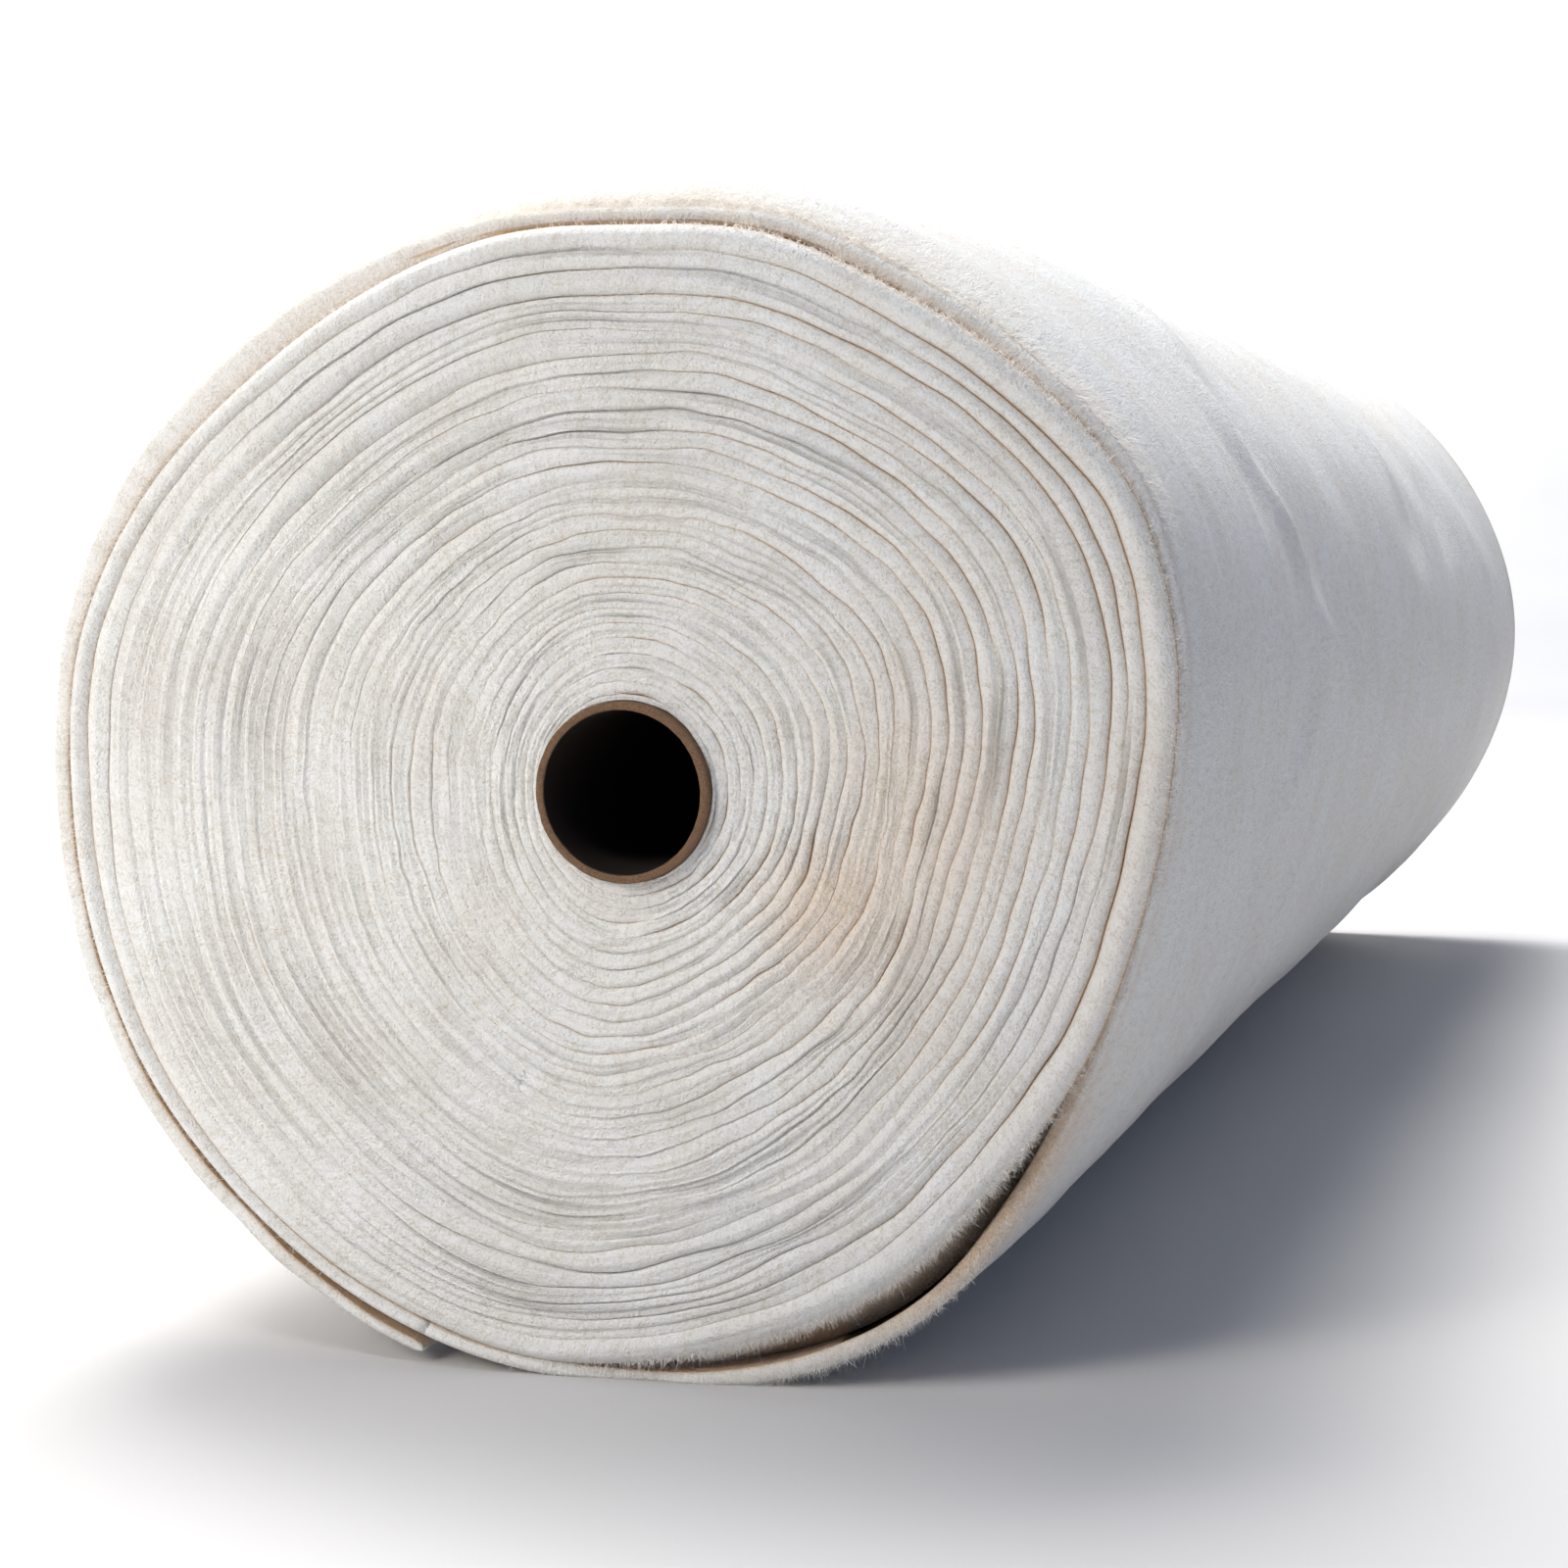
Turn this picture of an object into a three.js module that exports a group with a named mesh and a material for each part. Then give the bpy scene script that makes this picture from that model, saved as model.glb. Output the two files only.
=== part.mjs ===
// A roll of quilt batting: soft needle-punched cotton cloth, folded double and wound on a paper core.
// The roll lies on its side. +Z is up, +Y runs along the roll from its near end to its far end, and
// the origin is on the ground under the middle. Sizes are millimetres, and angles round the roll are
// degrees about the core, from +X towards +Z, as they are seen from the near end.
import * as THREE from 'three';
import { mergeVertices } from 'three/addons/utils/BufferGeometryUtils.js';

// Paper core
const CORE_BORE = 76.2;
const CORE_WALL = 4;
const CORE_PROUD = 6;
const CORE_SIDES = 48;
const CORE_EDGE = 0.8;

// Wound cloth
const ROLL_LENGTH = 1575;
const LAYER = 9;
const CORE_GAP = 0.3;
const REST_DROP = 279;

// Main twists of the winding, which runs outwards as the angle rises and ends at the tail
const TWISTS = 9;
const TAIL_ANGLE = 248;
const COLUMNS = 64;
const SHOULDER = 0.24;
const FURROW = 6;
const EDGE_ROUND = 2;
const RIM_DEPTH = 7;
const RIM_REACH = 34;
const TAIL_EASE = 0.13;

// Slack pocket under the outermost wrap, low on the right of the near end
const POCKET = { middle: 290, half: 34, open: 12, deep: 38 };

// Outline of the near end, as distances from the core's axis: the rim of the end, and the body
// of the roll just behind the rim, every 15 degrees
const NEAR_OUTLINE = [
  { deg: 0, rim: 256, body: 259 },
  { deg: 15, rim: 269, body: 272 },
  { deg: 30, rim: 278, body: 281 },
  { deg: 45, rim: 273, body: 281 },
  { deg: 60, rim: 269, body: 283 },
  { deg: 75, rim: 271, body: 287 },
  { deg: 90, rim: 269, body: 287 },
  { deg: 105, rim: 276, body: 288 },
  { deg: 120, rim: 284, body: 291 },
  { deg: 135, rim: 292, body: 295 },
  { deg: 150, rim: 302, body: 303 },
  { deg: 165, rim: 304, body: 304 },
  { deg: 180, rim: 299, body: 299 },
  { deg: 195, rim: 299, body: 299 },
  { deg: 210, rim: 300, body: 300 },
  { deg: 225, rim: 298, body: 298 },
  { deg: 240, rim: 297, body: 297 },
  { deg: 255, rim: 295, body: 295 },
  { deg: 270, rim: 290, body: 290 },
  { deg: 285, rim: 285, body: 285 },
  { deg: 300, rim: 278, body: 279 },
  { deg: 315, rim: 262, body: 266 },
  { deg: 330, rim: 251, body: 258 },
  { deg: 345, rim: 249, body: 254 },
];

// Outline of the far end, every 30 degrees
const FAR_OUTLINE = [
  { deg: 0, body: 276 },
  { deg: 30, body: 268 },
  { deg: 60, body: 264 },
  { deg: 90, body: 270 },
  { deg: 120, body: 276 },
  { deg: 150, body: 284 },
  { deg: 180, body: 286 },
  { deg: 210, body: 284 },
  { deg: 240, body: 284 },
  { deg: 270, body: 287 },
  { deg: 300, body: 277 },
  { deg: 330, body: 275 },
];

// Soft swells and hollows of the outside: place, height, half-width round the roll and half-length
const SWELLS = [
  { deg: 76, along: 520, rise: 5, wide: 60, long: 420 },
  { deg: 18, along: 420, rise: -4, wide: 24, long: 150 },
  { deg: 330, along: 230, rise: 3, wide: 34, long: 200 },
  { deg: 30, along: 900, rise: 4, wide: 38, long: 280 },
  { deg: 330, along: 760, rise: -3, wide: 30, long: 300 },
  { deg: 160, along: 1050, rise: 4, wide: 44, long: 320 },
  { deg: 200, along: 520, rise: -4, wide: 40, long: 260 },
  { deg: 355, along: 1300, rise: 4, wide: 34, long: 190 },
];

// How far the turns of each end lie behind the foremost one, from the core to the outside
const NEAR_RECESS = [
  { out: 0, back: 7 },
  { out: 0.2, back: 3 },
  { out: 0.45, back: 5 },
  { out: 0.7, back: 2 },
  { out: 0.9, back: 0 },
  { out: 1, back: 6 },
];
const FAR_RECESS = [
  { out: 0, back: 5 },
  { out: 0.3, back: 0 },
  { out: 0.6, back: 7 },
  { out: 0.85, back: 3 },
  { out: 1, back: 10 },
];

// Even steps along the outside between the two rims
const BARREL_STEPS = 15;

const CORE_OUTSIDE = CORE_BORE / 2 + CORE_WALL;
const WOUND_BORE = CORE_OUTSIDE + CORE_GAP;
const HALF_LENGTH = ROLL_LENGTH / 2;

// Smooth closed curve through a table whose rows lie evenly round the circle
function roundTable(table, deg, column) {
  const step = 360 / table.length;
  const place = (((deg % 360) + 360) % 360) / step;
  const index = Math.floor(place);
  const t = place - index;
  const [a, b, c, d] = [-1, 0, 1, 2].map((k) => table[(index + k + table.length) % table.length][column]);
  const slopeIn = (c - a) / 2;
  const slopeOut = (d - b) / 2;
  const bend = 3 * (c - b) - 2 * slopeIn - slopeOut;
  const twist = slopeIn + slopeOut - 2 * (c - b);
  return b + t * (slopeIn + t * (bend + t * twist));
}

// Straight lines between the rows of a table
function alongTable(table, out) {
  const next = Math.max(1, table.findIndex((row) => row.out >= out));
  const from = table[next - 1];
  const to = table[next];
  return THREE.MathUtils.mapLinear(out, from.out, to.out, from.back, to.back);
}

// Smooth hump, 1 in the middle and 0 from its half-width on
function hump(distance, half) {
  const share = Math.min(1, Math.abs(distance) / half);
  return (1 - share * share) ** 2;
}

// Angle from one direction to another, between -180 and 180
function turnBetween(from, to) {
  return ((((to - from) % 360) + 540) % 360) - 180;
}

// Angle round the roll after a number of turns from the start of the winding
function angleAt(turns) {
  return TAIL_ANGLE + 360 * turns;
}

// Distance from the core's axis to the outside, away from the step at the tail
function outline(deg, along) {
  const body = roundTable(NEAR_OUTLINE, deg, 'body');
  const share = THREE.MathUtils.smoothstep(along, 0, ROLL_LENGTH);
  let reach = THREE.MathUtils.lerp(body, roundTable(FAR_OUTLINE, deg, 'body'), share);
  for (const swell of SWELLS) {
    const round = hump(turnBetween(swell.deg, deg), swell.wide);
    reach += swell.rise * round * hump(along - swell.along, swell.long);
  }
  const toBody = THREE.MathUtils.smoothstep(along, 0, 2 * RIM_REACH);
  return reach - (body - roundTable(NEAR_OUTLINE, deg, 'rim')) * (1 - toBody);
}

// How far the outermost layer lies inside the outline just past the tail, where it is one layer down
function tailDip(turns) {
  return LAYER * (1 - THREE.MathUtils.smoothstep(turns - TWISTS, 0, TAIL_EASE));
}

// Share of the pocket's full opening at an angle
function pocketShare(deg) {
  return hump(turnBetween(POCKET.middle, deg), POCKET.half);
}

// Radius of the wound surface after a number of turns, at an end of the roll
function woundRadius(turns, end) {
  const deg = angleAt(turns);
  const outside = outline(deg, end.along);
  if (turns > TWISTS) return outside - tailDip(turns) - EDGE_ROUND;
  const pocket = end.pocket * pocketShare(deg) * POCKET.open;
  const wound = outside - 2 * LAYER - pocket;
  const share = turns / (TWISTS - 1);
  if (share <= 1) return THREE.MathUtils.lerp(WOUND_BORE, wound, share);
  return wound + LAYER - tailDip(turns + 1);
}

// Point at an angle, a radius and a place along the roll, no lower than the ground
function point(deg, radius, y) {
  const angle = THREE.MathUtils.degToRad(deg);
  const z = Math.max(radius * Math.sin(angle), -REST_DROP);
  return new THREE.Vector3(radius * Math.cos(angle), y, z);
}

// Vertices and triangles of one closed surface
class Surface {
  constructor() {
    this.vertices = [];
    this.faces = [];
  }

  add(position) {
    this.vertices.push(position);
    return this.vertices.length - 1;
  }

  // Triangles between two rows of equal length, which may share their first or last vertices
  strip(rowA, rowB, flip) {
    for (let j = 0; j + 1 < rowA.length; j += 1) {
      this.triangle(rowA[j], rowA[j + 1], rowB[j + 1], flip);
      this.triangle(rowA[j], rowB[j + 1], rowB[j], flip);
    }
  }

  // Triangles that fill a flat corner between a row's ends
  fan(row, flip) {
    for (let j = 1; j + 1 < row.length; j += 1) {
      this.triangle(row[0], row[j], row[j + 1], flip);
    }
  }

  triangle(a, b, c, flip) {
    if (a === b || b === c || c === a) return;
    this.faces.push(flip ? [a, c, b] : [a, b, c]);
  }

  geometry() {
    const positions = this.faces.flat().flatMap((index) => this.vertices[index].toArray());
    const geometry = new THREE.BufferGeometry();
    geometry.setAttribute('position', new THREE.Float32BufferAttribute(positions, 3));
    const merged = mergeVertices(geometry);
    merged.computeVertexNormals();
    return merged;
  }
}

// Tracks of one end of the roll, each a list of vertex numbers from the core to the tail:
// the furrow under each twist, and the two shoulders of its rounded top
function endTracks(surface, end) {
  const furrow = [];
  const inner = [];
  const outer = [];
  const steps = (TWISTS + 1) * COLUMNS;
  for (let step = 0; step <= steps; step += 1) {
    const turns = step / COLUMNS;
    const deg = angleAt(turns);
    const low = woundRadius(turns, end);
    const out = Math.min(1, turns / TWISTS);
    const back = alongTable(end.recess, out);
    const underLast = turns >= TWISTS - 1 && turns <= TWISTS;
    const pocket = underLast ? end.pocket * pocketShare(deg) : 0;
    const depth = back + (turns > TWISTS ? RIM_DEPTH : FURROW) + pocket * POCKET.deep;
    furrow.push(surface.add(point(deg, low, end.face + end.inward * depth)));
    if (turns <= TWISTS) {
      const high = woundRadius(turns + 1, end);
      const foot = low + pocket * POCKET.open;
      const top = end.face + end.inward * back;
      inner.push(surface.add(point(deg, THREE.MathUtils.lerp(foot, high, SHOULDER), top)));
      outer.push(surface.add(point(deg, THREE.MathUtils.lerp(foot, high, 1 - SHOULDER), top)));
    }
  }
  return { furrow, inner, outer };
}

// Closes one end of the roll between its bore and its outermost furrow
function closeEnd(surface, tracks, bore, flip) {
  const { furrow, inner, outer } = tracks;
  const wound = TWISTS * COLUMNS;
  surface.strip(bore, furrow.slice(0, COLUMNS + 1), flip);
  surface.strip(furrow.slice(0, wound + 1), inner, flip);
  surface.strip(inner, outer, flip);
  surface.strip(outer, furrow.slice(COLUMNS, COLUMNS + wound + 1), flip);
  surface.fan([furrow[0], inner[0], outer[0], furrow[COLUMNS]], flip);
  surface.fan([furrow[wound], inner[wound], outer[wound], furrow[wound + COLUMNS]], !flip);
}

// The wound cloth as one closed body with an open bore for the core
function battingGeometry() {
  const surface = new Surface();
  const ends = [
    { face: -HALF_LENGTH, inward: 1, along: 0, recess: NEAR_RECESS, pocket: 1 },
    { face: HALF_LENGTH, inward: -1, along: ROLL_LENGTH, recess: FAR_RECESS, pocket: 0 },
  ];
  const tracks = ends.map((end) => endTracks(surface, end));
  const bores = tracks.map(({ furrow }, index) => {
    const y = surface.vertices[furrow[0]].y;
    const ring = [furrow[0]];
    for (let j = 1; j < COLUMNS; j += 1) {
      ring.push(surface.add(point(angleAt(j / COLUMNS), WOUND_BORE, y)));
    }
    ring.push(furrow[0]);
    closeEnd(surface, tracks[index], ring, index === 0);
    return ring;
  });
  surface.strip(bores[0], bores[1], false);

  const rows = [tracks[0].furrow.slice(-COLUMNS - 1)];
  const nearest = -HALF_LENGTH + RIM_REACH;
  const span = ROLL_LENGTH - 2 * RIM_REACH;
  for (let k = 0; k <= BARREL_STEPS; k += 1) {
    const y = nearest + (span * k) / BARREL_STEPS;
    const row = [];
    for (let j = 0; j <= COLUMNS; j += 1) {
      const turns = TWISTS + j / COLUMNS;
      const deg = angleAt(turns);
      const reach = outline(deg, y + HALF_LENGTH) - tailDip(turns);
      row.push(surface.add(point(deg, reach, y)));
    }
    rows.push(row);
  }
  rows.push(tracks[1].furrow.slice(-COLUMNS - 1));
  for (let k = 0; k + 1 < rows.length; k += 1) {
    surface.strip(rows[k], rows[k + 1], true);
    surface.strip([rows[k][COLUMNS], rows[k][0]], [rows[k + 1][COLUMNS], rows[k + 1][0]], true);
  }
  return surface.geometry();
}

// The paper tube, a lathed ring whose rims are eased
function coreGeometry() {
  const inside = CORE_BORE / 2;
  const reach = HALF_LENGTH + CORE_PROUD;
  const profile = [
    [inside, -reach + CORE_EDGE],
    [inside + CORE_EDGE, -reach],
    [CORE_OUTSIDE - CORE_EDGE, -reach],
    [CORE_OUTSIDE, -reach + CORE_EDGE],
    [CORE_OUTSIDE, reach - CORE_EDGE],
    [CORE_OUTSIDE - CORE_EDGE, reach],
    [inside + CORE_EDGE, reach],
    [inside, reach - CORE_EDGE],
    [inside, -reach + CORE_EDGE],
  ].map(([radius, height]) => new THREE.Vector2(radius, height));
  return new THREE.LatheGeometry(profile, CORE_SIDES);
}

const batting = new THREE.Mesh(
  battingGeometry(),
  new THREE.MeshStandardMaterial({ color: '#e6e3dc', roughness: 0.95, metalness: 0 }),
);
batting.name = 'batting_roll';

const core = new THREE.Mesh(
  coreGeometry(),
  new THREE.MeshStandardMaterial({ color: '#7d6453', roughness: 0.85, metalness: 0 }),
);
core.name = 'core_tube';

// The pieces are made about the core's axis, and the roll is then stood on the ground
const roll = new THREE.Group();
roll.add(batting, core);
const box = new THREE.Box3().setFromObject(roll);
const middle = box.getCenter(new THREE.Vector3());
roll.position.set(-middle.x, -middle.y, -box.min.z);

const part = new THREE.Group();
part.add(roll);
part.updateMatrixWorld(true);

export default part;
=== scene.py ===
"""The looks of a roll of quilt batting: soft cotton cloth, folded double and wound on a paper core.

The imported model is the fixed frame. The cloth's turns, its outermost wrap, the loose fibres of its
edges and the paper core are built around the core's axis, in the frame's own place and size.
Angles round the roll are degrees from +X towards +Z, as they are seen from the near end.
"""

import logging
import math
from dataclasses import dataclass, field
from enum import Enum
from typing import Any

import bpy
import numpy as np
from mathutils import Matrix, Vector


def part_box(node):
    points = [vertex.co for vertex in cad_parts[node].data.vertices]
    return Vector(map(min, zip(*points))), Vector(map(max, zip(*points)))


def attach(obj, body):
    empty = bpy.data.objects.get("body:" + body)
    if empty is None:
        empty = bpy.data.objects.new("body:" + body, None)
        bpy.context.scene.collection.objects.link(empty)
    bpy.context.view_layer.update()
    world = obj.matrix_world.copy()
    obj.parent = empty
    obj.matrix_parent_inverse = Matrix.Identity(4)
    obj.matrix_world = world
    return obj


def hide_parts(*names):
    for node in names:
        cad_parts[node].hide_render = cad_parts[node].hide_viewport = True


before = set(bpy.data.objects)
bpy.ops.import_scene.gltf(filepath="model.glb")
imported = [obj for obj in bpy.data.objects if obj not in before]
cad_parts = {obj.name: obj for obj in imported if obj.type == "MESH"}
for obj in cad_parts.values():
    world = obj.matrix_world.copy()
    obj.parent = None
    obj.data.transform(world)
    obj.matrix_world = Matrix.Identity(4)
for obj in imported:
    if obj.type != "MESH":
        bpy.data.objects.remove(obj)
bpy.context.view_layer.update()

LOG = logging.getLogger("batting_roll")
MM = 0.001
BODY = "root"
# The core's wall, and how far the core stands out of the cloth at each end, in millimetres
CORE_WALL_MM = 4.0
CORE_PROUD_MM = 6.0

Array = np.ndarray


class End(Enum):
    """The two ends of the roll, with the sign of the direction from the middle to that end."""

    NEAR = -1
    FAR = 1


class Slot(Enum):
    """The record's material slots."""

    BATTING = "batting"
    CORE_BOARD = "core_board"


def linear(hex_code: str) -> tuple[float, float, float, float]:
    """Turns an sRGB hex colour into a linear colour.

    Args:
        hex_code: Six hex digits after a hash sign.

    Returns:
        Linear red, green and blue, and an alpha of 1.
    """
    parts = [int(hex_code[i : i + 2], 16) / 255 for i in (1, 3, 5)]
    low = [c / 12.92 if c <= 0.04045 else ((c + 0.055) / 1.055) ** 2.4 for c in parts]
    return (low[0], low[1], low[2], 1.0)


def hump(distance: Array, half: float) -> Array:
    """Smooth hump: (1 - (d / half) squared) squared, 1 in the middle and 0 from the half-width on.

    Args:
        distance: Distances from the middle.
        half: Half-width of the hump.

    Returns:
        Heights from 0 to 1.
    """
    share = np.clip(np.abs(distance) / half, 0, 1)
    return (1 - share * share) ** 2


def smoothstep(value: Array, low: float, high: float) -> Array:
    """Cubic step from 0 at low to 1 at high, level at both ends.

    Args:
        value: Where the step is read.
        low: Start of the step.
        high: End of the step.

    Returns:
        Heights from 0 to 1.
    """
    t = np.clip((value - low) / (high - low), 0, 1)
    return t * t * (3 - 2 * t)


def turn_between(start: float, deg: Array) -> Array:
    """Angle from one direction to others, between -180 and 180 degrees.

    Args:
        start: The direction counted from.
        deg: The directions counted to.

    Returns:
        Signed angles in degrees.
    """
    return (deg - start + 180) % 360 - 180


def round_curve(reaches: Array, deg: Array) -> Array:
    """Closed Catmull-Rom curve through values that lie evenly round the circle.

    Args:
        reaches: The values, the first at 0 degrees.
        deg: Angles at which the curve is read.

    Returns:
        The curve's values.
    """
    count = len(reaches)
    place = (deg % 360) * count / 360
    index = np.floor(place).astype(int)
    t = place - index
    a, b, c, d = (reaches[(index + k) % count] for k in (-1, 0, 1, 2))
    slope_in = (c - a) / 2
    slope_out = (d - b) / 2
    bend = 3 * (c - b) - 2 * slope_in - slope_out
    twist = slope_in + slope_out - 2 * (c - b)
    return b + t * (slope_in + t * (bend + t * twist))


@dataclass(frozen=True)
class Ripple:
    """Seeded uneven field on a ring: a sum of cosines with whole numbers of waves round the circle.

    Its value is about -1 to 1. The second coordinate is a length in millimetres, outwards or along.
    """

    seed: int
    waves: int
    around: tuple[int, int]
    length: tuple[float, float]

    def at(self, deg: Array, place: Array) -> Array:
        """Sum over the waves of cos(m * angle + k * place + phase), over the square root of their number.

        Args:
            deg: Angles round the roll in degrees.
            place: Lengths in millimetres.

        Returns:
            The field's values.
        """
        rng = np.random.default_rng(self.seed)
        m = rng.integers(self.around[0], self.around[1] + 1, self.waves)
        wavelength = rng.uniform(self.length[0], self.length[1], self.waves)
        k = 2 * math.pi / wavelength * rng.choice([-1, 1], self.waves)
        phase = rng.uniform(0, 2 * math.pi, self.waves)
        angle = np.radians(deg)
        total = np.zeros(np.broadcast(deg, place).shape)
        for i in range(self.waves):
            total += np.cos(m[i] * angle + k[i] * place + phase[i])
        return total / math.sqrt(self.waves)


def add_mesh(name: str, points: Array, faces: Array, flat: Array | None = None) -> bpy.types.Object:
    """Makes a smooth-shaded mesh object at the origin from whole arrays.

    Args:
        name: Name of the object.
        points: Vertex places in metres, one row each.
        faces: Vertex numbers, one row of four each; a triangle repeats its last vertex.
        flat: Marks of the faces that are shaded flat.

    Returns:
        The object, linked to the scene.
    """
    three = faces[:, 2] == faces[:, 3]
    counts = np.where(three, 3, 4).astype(np.int32)
    corners = faces[np.arange(4)[None, :] < counts[:, None]].astype(np.int32)
    mesh = bpy.data.meshes.new(name)
    mesh.vertices.add(len(points))
    mesh.vertices.foreach_set("co", points.astype(np.float32).ravel())
    mesh.loops.add(len(corners))
    mesh.loops.foreach_set("vertex_index", corners)
    mesh.polygons.add(len(faces))
    starts = np.concatenate([[0], np.cumsum(counts)[:-1]]).astype(np.int32)
    mesh.polygons.foreach_set("loop_start", starts)
    smooth = np.ones(len(faces), bool) if flat is None else ~flat
    mesh.polygons.foreach_set("use_smooth", smooth)
    mesh.update(calc_edges=True)
    mesh.validate()
    obj = bpy.data.objects.new(name, mesh)
    bpy.context.scene.collection.objects.link(obj)
    return obj


def add_attribute(obj: bpy.types.Object, name: str, values: Array) -> None:
    """Stores one number for each vertex of a mesh, for its material to read.

    Args:
        obj: The mesh object.
        name: Name of the attribute.
        values: One number for each vertex.
    """
    attribute = obj.data.attributes.new(name, "FLOAT", "POINT")
    attribute.data.foreach_set("value", values.astype(np.float32).ravel())


def add_uv(obj: bpy.types.Object, across: Array) -> None:
    """Stores a UV map from two lengths for each vertex, in metres along and across the cloth.

    Args:
        obj: The mesh object.
        across: Two numbers for each vertex.
    """
    index = np.zeros(len(obj.data.loops), np.int32)
    obj.data.loops.foreach_get("vertex_index", index)
    layer = obj.data.uv_layers.new(name="cloth")
    layer.data.foreach_set("uv", across[index].astype(np.float32).ravel())


def loop_faces(rows: int, columns: int) -> Array:
    """Faces of a tube swept as a grid, whose columns close into a loop, with fans over both ends.

    Args:
        rows: Number of sections along the sweep.
        columns: Number of points round each section.

    Returns:
        Faces of four vertex numbers, the two fans' triangles last.
    """
    r = np.arange(rows - 1)[:, None] * columns
    c = np.arange(columns)[None, :]
    d = (c + 1) % columns
    walls = np.stack([r + c, r + columns + c, r + columns + d, r + d], -1).reshape(-1, 4)
    i = np.arange(1, columns - 1)
    first = np.stack([0 * i, i, i + 1, i + 1], -1)
    last = (rows - 1) * columns + np.stack([0 * i, i + 1, i, i], -1)
    return np.concatenate([walls, first, last])


@dataclass
class Swept:
    """A closed piece of cloth swept along the winding: its places and what its material reads."""

    points: Array
    gap: Array
    warm: Array
    uv: Array

    def build(self, name: str, finish: bpy.types.Material) -> bpy.types.Object:
        """Makes the piece, with flat faces over both ends of the sweep.

        Args:
            name: Name of the piece.
            finish: Its material.

        Returns:
            The piece.
        """
        rows, columns = self.points.shape[:2]
        faces = loop_faces(rows, columns)
        flat = np.zeros(len(faces), bool)
        flat[-2 * (columns - 2) :] = True
        piece = add_mesh(name, self.points.reshape(-1, 3), faces, flat)
        add_attribute(piece, "gap", self.gap)
        add_attribute(piece, "warm", self.warm)
        add_uv(piece, self.uv.reshape(-1, 2))
        piece.data.materials.append(finish)
        return piece


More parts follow.
